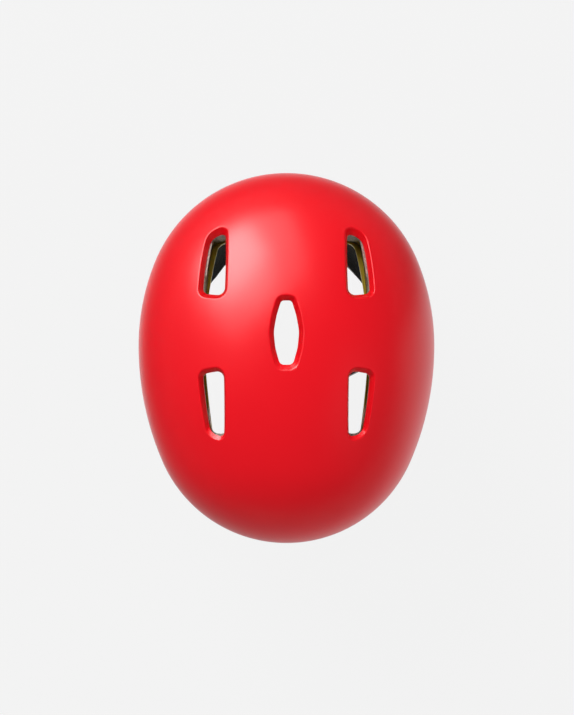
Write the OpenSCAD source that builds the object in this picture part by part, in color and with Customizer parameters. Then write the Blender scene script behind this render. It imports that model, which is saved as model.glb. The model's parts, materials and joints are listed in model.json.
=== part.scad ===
// Open-face sport helmet: a five-vent hard shell over a foam liner, with a slip liner,
// comfort pads, a dial fit system and a chin strap with a side-release buckle.
// Millimetres. +Z is up, the wearer looks along -Y and has their left hand at +X.
// The origin lies on the front-to-back axis that the shell, foam and slip liner are
// turned around, at the shell's widest place.

/* [Shell] */
// Width of the shell
shell_w = 220; // [212:1:230]
// Length of the shell behind its widest place
shell_rear = 128.5; // [124:0.5:134]
// Length of the shell ahead of its widest place
shell_front = 146.5; // [140:0.5:154]
// How much smaller the radius of the back is than half the width
rear_tuck = 4.5; // [3:0.5:8]
// How much smaller the radius of the front is than half the width
front_tuck = 9.5; // [6:0.5:14]
// Wall of the shell
shell_t = 2; // [1.6:0.1:2.8]

/* [Layers inside the shell] */
// Gap between the shell and the foam
foam_gap = 0.3; // [0.2:0.05:0.5]
// Depth of the foam's inner face under the outside of the shell
foam_in = 25; // [22:0.5:28]
// Gap between the foam and the slip liner
slip_gap = 0.5; // [0.4:0.1:0.8]
// Wall of the slip liner
slip_t = 1; // [0.8:0.1:1.4]
// Height of the hook dots between the slip liner and the pads
dot_t = 0.8; // [0.6:0.1:1.2]
// Thickness of the comfort pads
pad_t = 5; // [3:0.5:7]

/* [Rim] */
// Height of the rim at the brow, under the widest level
brow_drop = 4; // [3:0.5:8]
// Height of the rim in front of the ear, under the widest level
temple_drop = 34; // [32:1:36]
// Height of the top of the ear arch, under the widest level
ear_drop = 21; // [18:1:24]
// Height of the rim at the nape, under the widest level
nape_drop = 52; // [48:1:55]
// Length of the ear arch at its top
ear_arch_len = 32; // [28:1:36]
// Height of the edge trim on the outside of the shell
trim_h = 5; // [4:0.5:7]

/* [Vents] */
// Length of a rear vent, seen from above
rear_vent_len = 43; // [38:1:44]
// Length of a front vent, seen from above
front_vent_len = 43; // [38:1:45]
// Width of a side vent at its wide end
vent_wide = 16; // [14:0.5:17]
// Width of a side vent at its narrow end
vent_narrow = 9; // [8.5:0.5:10]
// Distance from the centre line to a side vent
vent_off = 44.5; // [43:0.5:46]
// Gap along the shell between a front and a rear vent
vent_gap = 53.6; // [50:0.2:56]
// Place of the vent pattern's middle behind the widest place
vent_mid_y = 8; // [6:1:10]
// Length of the crown vent
crown_vent_len = 45; // [42:1:47]
// Width of the crown vent at its middle
crown_vent_w = 17; // [15:0.5:18]
// Depth of the moulded collar round a vent
collar_depth = 7; // [6:0.5:8]
// Wall of the moulded collar
collar_t = 1.6; // [1.2:0.1:2.2]
// Draft angle of a collar
collar_draft = 24; // [18:1:26]

/* [Fit system] */
// Height of the dial's axis, under the widest level
dial_drop = 78; // [76:0.5:82]
// Distance of the toothed bands' plane behind the widest place
band_y = 65.4; // [64:0.2:67]
// Diameter of the dial
dial_d = 34; // [30:1:36]
// Module of the pinion's teeth
tooth_m = 0.8; // [0.7:0.05:0.9]
// Width of the flexible band along the head
arm_w = 11; // [9:0.5:12]
// Thickness of a toothed band
rack_t = 1.8; // [1.4:0.1:2]

/* [Straps] */
// Width of the webbing
web_w = 15; // [12:0.5:16]
// Thickness of the webbing
web_t = 1.3; // [1:0.1:1.6]
// Height of the strap dividers, under the widest level
divider_drop = 106; // [102:1:112]
// Distance from the centre line to a strap divider
divider_x = 68; // [64:0.5:72]
// Length of the buckle's socket
socket_len = 30; // [28:0.5:32]
// Width of the buckle
buckle_w = 26; // [24:0.5:28]

/* [Hidden] */
$fn = 96;

big = 400;
half_w = shell_w / 2;
seat = 0.05;
slip_in = foam_in + slip_gap + slip_t;
dot_in = slip_in + dot_t;
pad_in = dot_in + pad_t;

// Ends of the egg-shaped profile: radius, centre distance and side-arc radius, at [rear, front].
end_r = [half_w - rear_tuck, half_w - front_tuck];
end_c = [shell_rear - end_r[0], shell_front - end_r[1]];
side_r = [for (i = [0, 1])
    (half_w * half_w + end_c[i] * end_c[i] - end_r[i] * end_r[i]) / (2 * (half_w - end_r[i]))];

// Distance along the axis at which the side arc meets the end arc, for a surface inset by t.
function join_y(i, t) = end_c[i] + (end_r[i] - t) * end_c[i] / (side_r[i] - end_r[i]);
// Radius of the surface inset by t at station y along the axis.
function egg_r(y, t) =
    let (i = y >= 0 ? 0 : 1, d = abs(y))
    d > join_y(i, t)
        ? sqrt(max(0, pow(end_r[i] - t, 2) - pow(d - end_c[i], 2)))
        : sqrt(pow(side_r[i] - t, 2) - d * d) - (side_r[i] - half_w);
// Height of the surface inset by t over the plan point x, y, and its x at the level z.
function egg_z(x, y, t) = sqrt(max(0, pow(egg_r(y, t), 2) - x * x));
function egg_x(y, z, t) = egg_z(z, y, t);
// Lean of the surface at station y, towards the nearer end.
function egg_lean(y, t) =
    let (i = y >= 0 ? 0 : 1, d = abs(y))
    sign(y) * (d > join_y(i, t) ? asin((d - end_c[i]) / (end_r[i] - t)) : asin(d / (side_r[i] - t)));

// Half of the egg's profile: radius along x, axis along y.
module egg_half(t) {
    for (i = [0, 1])
        mirror([0, i, 0]) {
            intersection() {
                translate([half_w - side_r[i], 0]) circle(r = side_r[i] - t, $fn = 240);
                square([half_w, join_y(i, t)]);
            }
            intersection() {
                translate([0, end_c[i]]) circle(r = end_r[i] - t, $fn = 240);
                translate([0, join_y(i, t)]) square([half_w, shell_front]);
            }
        }
}

// Layer of the egg between the insets t_out and t_in.
module egg_layer(t_out, t_in) {
    rotate([-90, 0, 0])
        rotate([0, 0, 90])
            rotate_extrude($fn = 144)
                difference() {
                    egg_half(t_out);
                    egg_half(t_in);
                }
}

// Moves its children to the surface inset by t: roll phi from straight up, station y. Local z points out.
module on_egg(phi, y, t) {
    rotate([0, phi, 0])
        translate([0, y, egg_r(y, t)])
            rotate([-egg_lean(y, t), 0, 0])
                children();
}

function unit(v) = v / norm(v);
function turn(a, b) = atan2(a[0] * b[1] - a[1] * b[0], a * b);
function xy(p) = [p[0], p[1]];
arc_steps = 4;

// Outline with rounded corners, grown outward by g, from anticlockwise corners [x, y, radius].
function outline(pts, g = 0) =
    let (n = len(pts),
         into = [for (i = [0:n - 1]) unit(xy(pts[i]) - xy(pts[(i + n - 1) % n]))],
         angle = [for (i = [0:n - 1]) turn(into[i], into[(i + 1) % n])])
    [for (i = [0:n - 1])
        let (r = pts[i][2] * sign(angle[i]),
             c = xy(pts[i]) + r * ([-into[i][1], into[i][0]] - into[i] * tan(angle[i] / 2)),
             a0 = atan2(into[i][1], into[i][0]) - 90)
        for (k = [0:r == 0 ? 0 : arc_steps])
            c + (r + g) * [cos(a0 + angle[i] * k / arc_steps), sin(a0 + angle[i] * k / arc_steps)]];

// Rounded rectangle from [x0, y0] to [x1, y1].
function plate(x0, y0, x1, y1, r) = outline([[x0, y0, r], [x1, y0, r], [x1, y1, r], [x0, y1, r]]);

module box(lo, hi) translate(lo) cube(hi - lo);

// Prism of the points in the x-z plane, between y0 and y1.
module prism_y(y0, y1) translate([0, y1, 0]) rotate([90, 0, 0]) linear_extrude(y1 - y0) children();

// Prism of the points in the y-z plane, between x0 and x1.
module prism_x(x0, x1) translate([x0, 0, 0]) rotate([90, 0, 90]) linear_extrude(x1 - x0) children();

// Flat band along a path: p are the centres, a the directions of its width.
module band(p, a, w, t) {
    n = len(p);
    d = [for (i = [0:n - 1]) unit(p[min(i + 1, n - 1)] - p[max(i - 1, 0)])];
    u = [for (i = [0:n - 1]) unit(a[i] - d[i] * (a[i] * d[i]))];
    o = [for (i = [0:n - 1]) cross(d[i], u[i])];
    polyhedron(
        points = [for (i = [0:n - 1]) for (s = [[1, 1], [-1, 1], [-1, -1], [1, -1]])
            p[i] + u[i] * s[0] * w / 2 + o[i] * s[1] * t / 2],
        faces = concat(
            [[0, 1, 2, 3]],
            [[for (k = [3:-1:0]) 4 * (n - 1) + k]],
            [for (i = [0:n - 2]) for (k = [0:3]) for (h = [0, 1])
                let (b = 4 * i, c = 4 * (i + 1), m = (k + 1) % 4)
                h == 0 ? [b + k, c + k, c + m] : [b + k, c + m, b + m]]));
}

// Rim: side-view line of the helmet's lower edge, [y, z, corner radius].
ear_mid_y = 6;
ear_front = ear_mid_y - ear_arch_len / 2;
ear_rear = ear_mid_y + ear_arch_len / 2;
rim_line = [
    [-half_w - 90, -brow_drop + 2, 0],
    [-98, -brow_drop - 1, 60],
    [-60, -temple_drop, 20],
    [-30, -temple_drop, 18],
    [ear_front, -ear_drop, 25],
    [ear_rear, -ear_drop, 22],
    [ear_rear + 26, -nape_drop, 22],
    [half_w + 90, -nape_drop, 0],
];

// Everything under the rim line raised by dz.
module under_rim(dz) {
    n = len(rim_line);
    prism_x(-big / 2, big / 2)
        translate([0, dz])
            polygon(outline(concat(
                [[-half_w - 90, -big / 2, 0], [half_w + 90, -big / 2, 0]],
                [for (i = [n - 1:-1:0]) rim_line[i]])));
}

// Everything over the rim line raised by dz.
module over_rim(dz) {
    prism_x(-big / 2, big / 2)
        translate([0, dz])
            polygon(outline(concat(rim_line,
                [[half_w + 90, big / 2, 0], [-half_w - 90, big / 2, 0]])));
}

// Vents: u points outward from the centre line, v away from the pattern's middle.
crown_end_w = 8.5;
function crown_pts() =
    let (w = crown_vent_w / 2, e = crown_end_w / 2, l = crown_vent_len / 2)
    [[w, 0, 30], [e, l, 3.6], [-e, l, 3.6], [-w, 0, 30], [-e, -l, 3.6], [e, -l, 3.6]];
function side_pts(l) = [[0, 0, 4], [vent_wide, 0, 4], [vent_narrow, l, 4], [0, l, 3.6]];
side_roll = 8;
rear_pitch = 10;
front_pitch = 4;
// How far the collar's lower opening sits inward of the outline, on the sloping side of the shell.
slope_shift = 1.8;

// Slope of a collar's lower edge along a side vent that starts at y0 and ends at y1.
vent_x = vent_off + (vent_wide + vent_narrow) / 4;
function vent_slope(y0, y1) =
    atan((egg_z(vent_x, y0, collar_depth) - egg_z(vent_x, y1, collar_depth)) / abs(y1 - y0));
rear_y = vent_mid_y + vent_gap / 2;
front_y = vent_mid_y - vent_gap / 2;
rear_slope = vent_slope(rear_y, rear_y + rear_vent_len);
front_slope = vent_slope(front_y, front_y - front_vent_len);
rear_pts = side_pts(rear_vent_len / cos(rear_slope));
front_pts = side_pts(front_vent_len / cos(front_slope));

// Plug with drafted walls that lean by an angle against v: outline pts grown by v[0] at each height v[1].
module drafted(pts, lean, levels) {
    rings = [for (v = levels) [for (p = outline(pts, v[0])) [p[0], p[1] - v[1] * tan(lean), v[1]]]];
    n = len(rings[0]);
    top = (len(rings) - 1) * n;
    polyhedron(
        points = [for (r = rings) each r],
        faces = concat(
            [[for (i = [0:n - 1]) i]],
            [[for (i = [n - 1:-1:0]) top + i]],
            [for (k = [0:n:top - 1], i = [0:n - 1]) [k + i, k + n + i, k + n + (i + 1) % n, k + (i + 1) % n]]));
}

// Places its children, drawn in a vent's own frame: child 0 at the crown, 1 at the rear, 2 at the front.
module at_vents() {
    translate([0, vent_mid_y, egg_z(0, vent_mid_y, collar_depth)]) children(0);
    for (s = [0, 1]) mirror([s, 0, 0]) {
        translate([vent_off, rear_y, egg_z(vent_x, rear_y, collar_depth)])
            rotate([-rear_slope, 0, 0]) rotate([0, side_roll, 0]) children(1);
        translate([vent_off, front_y, egg_z(vent_x, front_y, collar_depth)])
            rotate([front_slope, 0, 0]) rotate([0, side_roll, 0]) mirror([0, 1, 0]) children(2);
    }
}

// Drafted space of the vents, grown by g, that the collars bound.
module vent_funnels(g) {
    levels = [for (z = [-7, 17]) [g + z * tan(collar_draft), z]];
    at_vents() {
        drafted(crown_pts(), 0, levels);
        drafted(rear_pts, rear_slope - rear_pitch, levels);
        drafted(front_pts, front_slope - front_pitch, levels);
    }
}

// Straight space of the vents, grown by g, through the foam and the slip liner.
module vent_shafts(g) {
    levels = [[g, -45], [g, 17]];
    at_vents() {
        drafted(crown_pts(), 0, levels);
        translate([-slope_shift, 0, 0]) drafted(rear_pts, rear_slope - rear_pitch, levels);
        translate([-slope_shift, 0, 0]) drafted(front_pts, front_slope - front_pitch, levels);
    }
}

// Helmet body

module outer_shell() {
    color("firebrick")
        difference() {
            union() {
                egg_layer(0, shell_t);
                intersection() {
                    egg_layer(shell_t / 2, collar_depth);
                    vent_funnels(collar_t);
                }
            }
            vent_funnels(0);
            under_rim(trim_h + 0.2);
        }
}

trim_t = 1.2;
trim_in = 8;
module edge_trim() {
    color("dimgray")
        difference() {
            egg_layer(0, trim_in);
            under_rim(-trim_t);
            over_rim(trim_h);
            difference() {
                egg_layer(shell_t + foam_gap - seat, trim_in + 1);
                under_rim(-seat);
            }
        }
}

module foam_liner() {
    color("gray")
        difference() {
            egg_layer(shell_t + foam_gap, foam_in);
            intersection() {
                egg_layer(shell_t / 2, collar_depth + foam_gap);
                vent_funnels(collar_t + foam_gap);
            }
            vent_shafts(0.8);
            under_rim(0);
            on_slip_pins() translate([0, 0, -0.1]) cylinder(r = pin_foot_r + 0.1, h = pin_foot_h + 0.2);
        }
}

// Slip pins: a foot set in the foam, a stem through a slot of the slip liner and a flat head.
pin_r = 2;
pin_foot_r = 5;
pin_foot_h = 3;
pin_head_r = 4.5;
pin_head_t = 1;
roll_limit = 5;
// Roll from straight up and station of each pin.
pin_spots = [[36, vent_mid_y], [-36, vent_mid_y], [34, -72], [-34, -72]];
module on_slip_pins() for (p = pin_spots) on_egg(p[0], p[1], foam_in) children();

module slip_pins() {
    color("darkkhaki")
        on_slip_pins() {
            stem = slip_gap + slip_t + 0.25;
            translate([0, 0, 0.1]) cylinder(r = pin_foot_r, h = pin_foot_h);
            translate([0, 0, -stem - pin_head_t / 2]) cylinder(r = pin_r, h = stem + pin_head_t / 2 + 0.2);
            translate([0, 0, -stem - pin_head_t]) cylinder(r = pin_head_r, h = pin_head_t);
        }
}

// Strap anchors under the rim
front_anchor_y = -44.5;
rear_anchor_y = ear_rear + 45;
anchor_len = 16.5;
anchor_w = 5;
anchor_h = 3;
front_anchor_in = 14.5;
rear_anchor_in = 12.5;
front_anchor = [egg_x(front_anchor_y, -temple_drop, front_anchor_in), front_anchor_y, -temple_drop - seat];
rear_anchor = [egg_x(rear_anchor_y, -nape_drop, rear_anchor_in), rear_anchor_y, -nape_drop - seat];
// Angle that the rim turns by, seen from above, at an anchor
function rim_turn(y, z, t) = atan((egg_x(y - 1, z, t) - egg_x(y + 1, z, t)) / 2);
front_turn = rim_turn(front_anchor_y, -temple_drop, front_anchor_in);
rear_turn = rim_turn(rear_anchor_y, -nape_drop, rear_anchor_in);

module strap_anchor(at, angle) {
    color("black")
        translate([at[0], at[1], at[2] - anchor_h])
            rotate(angle)
                linear_extrude(anchor_h)
                    polygon(plate(-anchor_w / 2, -anchor_len / 2, anchor_w / 2, anchor_len / 2, 1.5));
}
module strap_anchor_front_left() strap_anchor(front_anchor, front_turn);
module strap_anchor_front_right() mirror([1, 0, 0]) strap_anchor_front_left();
module strap_anchor_rear_left() strap_anchor(rear_anchor, rear_turn);
module strap_anchor_rear_right() mirror([1, 0, 0]) strap_anchor_rear_left();

// Strap dividers: a five-sided clamp in the y-z plane. A strap meets each upper edge squarely.
divider = [divider_x, 2, -divider_drop];
divider_t = 4.5;
web_gap = 0.1;
front_dir = unit([divider[1] - 7 - front_anchor[1], divider[2] + 9 - front_anchor[2] + anchor_h]);
rear_dir = unit([divider[1] + 7 - rear_anchor[1], divider[2] + 7 - rear_anchor[2] + anchor_h]);
apex = [1, 12];
front_edge = [-front_dir[1], front_dir[0]] * (web_w + 1);
rear_edge = [rear_dir[1], -rear_dir[0]] * (web_w + 1);
divider_pts = [apex, apex - front_edge, [-web_w / 2 - 0.5, -10], [web_w / 2 + 0.5, -10], apex - rear_edge];
function on_divider(p, d) = [divider[0], divider[1] + p[0] - d[0] * web_gap, divider[2] + p[1] - d[1] * web_gap];
front_end = on_divider(apex - front_edge / 2, front_dir);
rear_end = on_divider(apex - rear_edge / 2, rear_dir);
chin_end = on_divider([0, -10], [0, 1]);

module strap_divider_left() {
    color("black")
        prism_x(divider_x - divider_t / 2, divider_x + divider_t / 2)
            translate([divider[1], divider[2]])
                polygon(outline([for (p = divider_pts) [p[0], p[1], 0.8]]));
}
module strap_divider_right() mirror([1, 0, 0]) strap_divider_left();

// Straps from the anchors to the dividers
module upper_strap(from, angle, to, d) {
    start = [from[0], from[1], from[2] - anchor_h - web_gap];
    drop = start - [0, 0, 2.5];
    run = [0, d[0], d[1]];
    last = to - run * 12;
    side = [0, -d[1], d[0]];
    root = [-sin(angle), cos(angle), 0];
    color("dimgray")
        band([start, drop, (drop * 3 + last) / 4, (drop + last) / 2, last, to],
            [root, root, root + side, side, side, side], web_w, web_t);
}
module front_strap_left() upper_strap(front_anchor, front_turn, front_end, front_dir);
module front_strap_right() mirror([1, 0, 0]) front_strap_left();
module rear_strap_left() upper_strap(rear_anchor, rear_turn, rear_end, rear_dir);
module rear_strap_right() mirror([1, 0, 0]) rear_strap_left();

// Chin loop: mirror image points of its left half, from the buckle's socket to the lowest part
buckle_at = [divider_x - 10, -5, -divider_drop - 28];
buckle_dir = unit([-36, -19, -42]);
buckle_across = unit([0, 1, 0] - buckle_dir * buckle_dir[1]);
buckle_up = cross(buckle_dir, buckle_across);
plug_len = 13;
plug_end = buckle_at + buckle_dir * (socket_len + plug_len + 0.3);
low = plug_end + [-11, -5.3, -11];
function flip(p) = [-p[0], p[1], p[2]];
upper_chin = [
    chin_end,
    chin_end - [0, 0, 5],
    buckle_at - buckle_dir * 9,
    buckle_at - buckle_dir * web_gap];
chin_loop = [
    plug_end + buckle_dir * web_gap,
    low,
    low + [-12, -3.3, -7],
    flip(low + [-12, -3.3, -7]),
    flip(low),
    flip(plug_end),
    flip((plug_end + buckle_at) / 2),
    flip(buckle_at),
    flip(chin_end - [0, 0, 7]),
    flip(chin_end)];

module chin_strap_left() {
    color("dimgray")
        band(upper_chin, [[0, 1, 0], [0, 1, 0], [0, 1, -0.2], buckle_across], web_w, web_t);
}
module chin_strap_right() {
    n = len(chin_loop);
    color("dimgray") band(chin_loop, [buckle_across, for (i = [1:n - 1]) [0, 1, 0]], web_w, web_t);
}
tail_gap = web_t + 0.5;
module strap_tail() {
    n = 5;
    p = [for (i = [0:n]) chin_loop[i]];
    d = [for (i = [0:n]) unit(p[min(i + 1, n)] - p[max(i - 1, 0)])];
    o = [for (i = [0:n]) cross(d[i], unit([0, 1, 0] - d[i] * d[i][1]))];
    color("dimgray")
        band([for (i = [0:n]) p[i] + o[i] * tail_gap + (i == 0 ? buckle_dir * 2 : [0, 0, 0])],
            [for (i = [0:n]) [0, 1, 0]], web_w, web_t);
}
// Keeper: a flat ring round the strap and its tail
module strap_keeper() {
    a = chin_loop[4];
    b = chin_loop[5];
    d = unit(b - a);
    w = unit([0, 1, 0] - d * d[1]);
    o = cross(d, w);
    c = (a + b) / 2 + o * tail_gap / 2;
    ring = web_t + tail_gap / 2 + 0.1;
    color("black")
        multmatrix([[d[0], w[0], o[0], c[0]], [d[1], w[1], o[1], c[1]], [d[2], w[2], o[2], c[2]], [0, 0, 0, 1]])
            prism_x(-2.5, 2.5)
                difference() {
                    polygon(plate(-web_w / 2 - 2, -ring - 1.4, web_w / 2 + 2, ring + 1.4, 1.5));
                    polygon(plate(-web_w / 2 - 0.4, -ring, web_w / 2 + 0.4, ring, 0.4));
                }
}

// Buckle, drawn along x from the socket's strap end, with y across and z through its thickness
module in_buckle() {
    u = buckle_dir;
    w = buckle_across;
    o = buckle_up;
    c = buckle_at;
    multmatrix([[u[0], w[0], o[0], c[0]], [u[1], w[1], o[1], c[1]], [u[2], w[2], o[2], c[2]], [0, 0, 0, 1]])
        children();
}
buckle_half = buckle_w / 2;
socket_t = 9.6;
mouth_half = buckle_half - 2.4;
mouth_t = 4.6;
prong_run = 0.35;
prong_root_y = 6.6;
prong_w = 3;
hook_x = [10, 17];
module slab(t) translate([0, 0, -t / 2]) linear_extrude(t) children();

module buckle_socket() {
    color("black")
        in_buckle()
            difference() {
                slab(socket_t)
                    polygon(outline([[0, -web_w / 2 - 2, 2], [5, -web_w / 2 - 2, 2], [9, -buckle_half, 3],
                        [socket_len, -buckle_half, 1], [socket_len, buckle_half, 1], [9, buckle_half, 3],
                        [5, web_w / 2 + 2, 2], [0, web_w / 2 + 2, 2]]));
                slab(mouth_t) polygon(plate(6.5, -mouth_half, socket_len + 5, mouth_half, 0.5));
                slab(mouth_t) polygon(plate(hook_x[0] - 0.8, -big, hook_x[1] + 1.2, big, 0.5));
                slab(big) polygon(plate(1.8, -web_w / 2 - 0.5, 4.4, web_w / 2 + 0.5, 0.5));
            }
}
module buckle_plug() {
    x0 = socket_len + 0.3;
    color("black")
        in_buckle() {
            difference() {
                slab(socket_t - 1)
                    polygon(outline([[x0, -buckle_half + 0.5, 1], [x0 + 6, -buckle_half + 0.5, 2],
                        [x0 + plug_len, -web_w / 2 - 2, 2], [x0 + plug_len, web_w / 2 + 2, 2],
                        [x0 + 6, buckle_half - 0.5, 2], [x0, buckle_half - 0.5, 1]]));
                slab(big) polygon(plate(x0 + 8.6, -web_w / 2 - 0.5, x0 + 11.2, web_w / 2 + 0.5, 0.5));
                for (s = [-1, 1])
                    slab(mouth_t - 0.2) translate([0, s * prong_root_y])
                        polygon(plate(x0 - 5, -prong_w / 2 - prong_run, x0 + 4, prong_w / 2 + prong_run, 0.3));
            }
            slab(mouth_t - 0.8) polygon(plate(8, -2, x0 + 1, 2, 0.8));
        }
}
// Prong on the side s, with a hook that rests in the socket's side window
module plug_prong(s) {
    x0 = socket_len + 0.3;
    y0 = prong_root_y - prong_w / 2;
    y1 = prong_root_y + prong_w / 2;
    color("black")
        in_buckle() mirror([0, s, 0])
            slab(mouth_t - 0.8)
                polygon(outline([[x0 + 3.6, y0, 1], [x0 + 3.6, y1, 1], [hook_x[1] + 3, y1, 1],
                    [hook_x[1], buckle_half - 0.8, 0.6], [hook_x[0] + 2, buckle_half - 0.8, 2.5],
                    [hook_x[0] - 1.5, mouth_half - 1.2, 2], [hook_x[0] - 1.5, mouth_half - 4.2, 0.6],
                    [hook_x[1] + 1, y0, 3]]));
}
module plug_prong_outer() plug_prong(0);
module plug_prong_inner() plug_prong(1);

// Fit system: anchors on the foam, flexible arms and hanger
fit_in = foam_in + 2.6;
fit_y = front_anchor_y - 2;
fit_z = -27.5;
stud_r = 2;
module temple_anchor_left() {
    color("black") {
        intersection() {
            egg_layer(foam_in + seat, fit_in);
            prism_x(20, big) polygon(plate(fit_y - 8, fit_z - 5, fit_y + 8, fit_z + 5, 3));
        }
        on_egg(atan2(egg_x(fit_y, fit_z, fit_in), fit_z), fit_y, fit_in)
            translate([0, 0, -2.4]) cylinder(r = stud_r, h = 3.4, $fn = 48);
    }
}
module temple_anchor_right() mirror([1, 0, 0]) temple_anchor_left();

hang_z = -38;
hang_half = 13;
module cradle_anchor() {
    color("black")
        intersection() {
            egg_layer(foam_in + seat, fit_in);
            prism_y(20, big) polygon(plate(-hang_half, hang_z - 6, hang_half, hang_z + 6, 3));
        }
}

arm_t = 1.6;
rack_end = 40;
arm_gap = 0.1;
function arm_wall(y, z) = [egg_x(y, z, fit_in + 0.3 + arm_t / 2), y, z];
arm_x = egg_x(-20, -28.5, fit_in + 1.6);
arm_path = [
    [rack_end + arm_gap, band_y - rack_t / 2 - 0.2, -dial_drop],
    [rack_end + arm_gap + 4, band_y - rack_t / 2 - 0.2, -dial_drop],
    [rack_end + 13.5, band_y - 8.5, -dial_drop + 5],
    [rack_end + 20.5, band_y - 17, -dial_drop + 12],
    [rack_end + 26.5, band_y - 27.5, -dial_drop + 21],
    [arm_x - 4.5, 26, -47],
    [arm_x - 1.5, 12, -38.5],
    [arm_x, -4, -32],
    arm_wall(-20, -28.5),
    arm_wall(-34, fit_z),
    arm_wall(fit_y, fit_z),
    arm_wall(fit_y - 7, fit_z)];
arm_side = [[0, 0, 1], [0, 0, 1], [0, 0, 1], [0, 0.1, 1], [0, 0.3, 1], [0.02, 0.3, 1], [0.08, 0.2, 1],
    [0.18, 0.1, 1], [0.33, 0, 1], [0.36, 0, 1], [0.36, 0, 1], [0.36, 0, 1]];
module fit_arm(lift) {
    n = len(arm_path);
    p = [for (i = [0:n - 1]) arm_path[i] + [0, i < 2 ? lift : i == 2 ? lift / 2 : 0, 0]];
    color("black")
        difference() {
            band(p, arm_side, arm_w, arm_t);
            on_egg(atan2(egg_x(fit_y, fit_z, fit_in), fit_z), fit_y, fit_in)
                translate([0, 0, -6]) cylinder(r = stud_r + 0.15, h = 8, $fn = 48);
        }
}
module fit_arm_left() fit_arm(0);
module fit_arm_right() mirror([1, 0, 0]) fit_arm(rack_t + 0.4);

// Dial mechanism. The left band is the inner one and is toothed along its upper edge,
// the right band is toothed along its lower edge, and one pinion drives both.
teeth = 12;
pitch_r = teeth * tooth_m / 2;
backlash = 0.22;
flank = 20;
tooth_half = (PI * tooth_m / 2 - backlash) / 2;
tip_r = pitch_r + 0.55;
root_r = pitch_r - 0.85;
base_r = pitch_r * cos(flank);
function inv(a) = tan(a) * 180 / PI - a;
function tooth_angle(r) = tooth_half / pitch_r * 180 / PI + inv(flank) - (r > base_r ? inv(acos(base_r / r)) : 0);
tooth_radii = [root_r, base_r, (base_r + tip_r) / 2, tip_r];
function gear_pts() =
    [for (i = [0:teeth - 1]) for (k = [0:7])
        let (j = k < 4 ? k : 7 - k, r = tooth_radii[j], a = tooth_angle(r) * (k < 4 ? 1 : -1),
             m = 90 - i * 360 / teeth + a)
        r * [cos(m), sin(m)]];

rack_pitch = PI * tooth_m;
rack_tip_x = -9.4;
rack_travel = 12;
rack_half_h = pitch_r + 0.85 + 2.1;
window = [-tip_r - 1, rack_travel + tip_r + 1];
// Toothed upper edge of a rack's window, from right to left, then its plain lower edge.
function window_pts() = concat(
    [[window[0], -tip_r - 0.5], [window[1], -tip_r - 0.5], [window[1], pitch_r + 0.85]],
    [for (i = [5:-1:-2])
        let (c = (i + 0.5) * rack_pitch)
        for (q = [[1, 0.85], [1, -0.55], [-1, -0.55], [-1, 0.85]])
            [c + q[0] * (tooth_half + q[1] * tan(flank)), pitch_r + q[1]]],
    [[window[0], pitch_r + 0.85]]);

module toothed_band(y0) {
    translate([0, 0, -dial_drop])
        prism_y(y0, y0 + rack_t)
            difference() {
                polygon(outline([
                    [rack_tip_x, -rack_half_h, 2], [window[1] + 3, -rack_half_h, 4],
                    [rack_end - 12, -arm_w / 2, 4], [rack_end, -arm_w / 2, 0],
                    [rack_end, arm_w / 2, 0], [rack_end - 12, arm_w / 2, 4],
                    [window[1] + 3, rack_half_h, 4], [rack_tip_x, rack_half_h, 2]]));
                polygon(window_pts());
            }
}
left_y = band_y - rack_t - 0.2;
right_y = band_y + 0.2;
module fit_rack_left() color("dimgray") toothed_band(left_y);
module fit_rack_right()
    color("dimgray") translate([0, 0, -2 * dial_drop]) rotate([0, 180, 0]) toothed_band(right_y);

base_t = 2;
base_y = left_y - 0.3 - base_t;
cover_y = right_y + rack_t + 0.3;
cover_t = 2;
house_x = 28;
rail_z = rack_half_h + 0.4;
house_z = rail_z + 3;
hub_r = 3.6;
journal_r = 2;
bore_r = 1.5;
tab_h = 9;

module house_plate() {
    polygon(outline([
        [-house_x, -house_z + 5, 3], [-house_x + 8, -house_z, 6], [house_x - 8, -house_z, 6],
        [house_x, -house_z + 5, 3], [house_x, house_z - 5, 3], [house_x - 8, house_z, 6],
        [-house_x + 8, house_z, 6], [-house_x, house_z - 5, 3]]));
}
module dial_housing() {
    color("black")
        translate([0, 0, -dial_drop])
            difference() {
                union() {
                    prism_y(base_y, cover_y) house_plate();
                    prism_y(base_y, base_y + 4) polygon(plate(-12, house_z - 4, 12, house_z + tab_h, 3));
                }
                prism_y(base_y + base_t, cover_y + 1)
                    polygon([[-big, -rail_z], [big, -rail_z], [big, rail_z], [-big, rail_z]]);
                prism_y(base_y - 1, base_y + base_t + 1) circle(r = journal_r + 0.05, $fn = 48);
            }
}
module housing_cover() {
    color("black")
        translate([0, 0, -dial_drop])
            difference() {
                prism_y(cover_y + seat, cover_y + cover_t) house_plate();
                prism_y(cover_y - 1, cover_y + cover_t + 1) circle(r = hub_r + 0.3, $fn = 48);
            }
}
pad_gap = 0.1;
module cradle_pad() {
    color("dimgray")
        translate([0, 0, -dial_drop])
            prism_y(base_y - 4.5, base_y - pad_gap)
                polygon(plate(-house_x + 3, -house_z + 1, house_x - 3, house_z - 1, 6));
}

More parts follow.
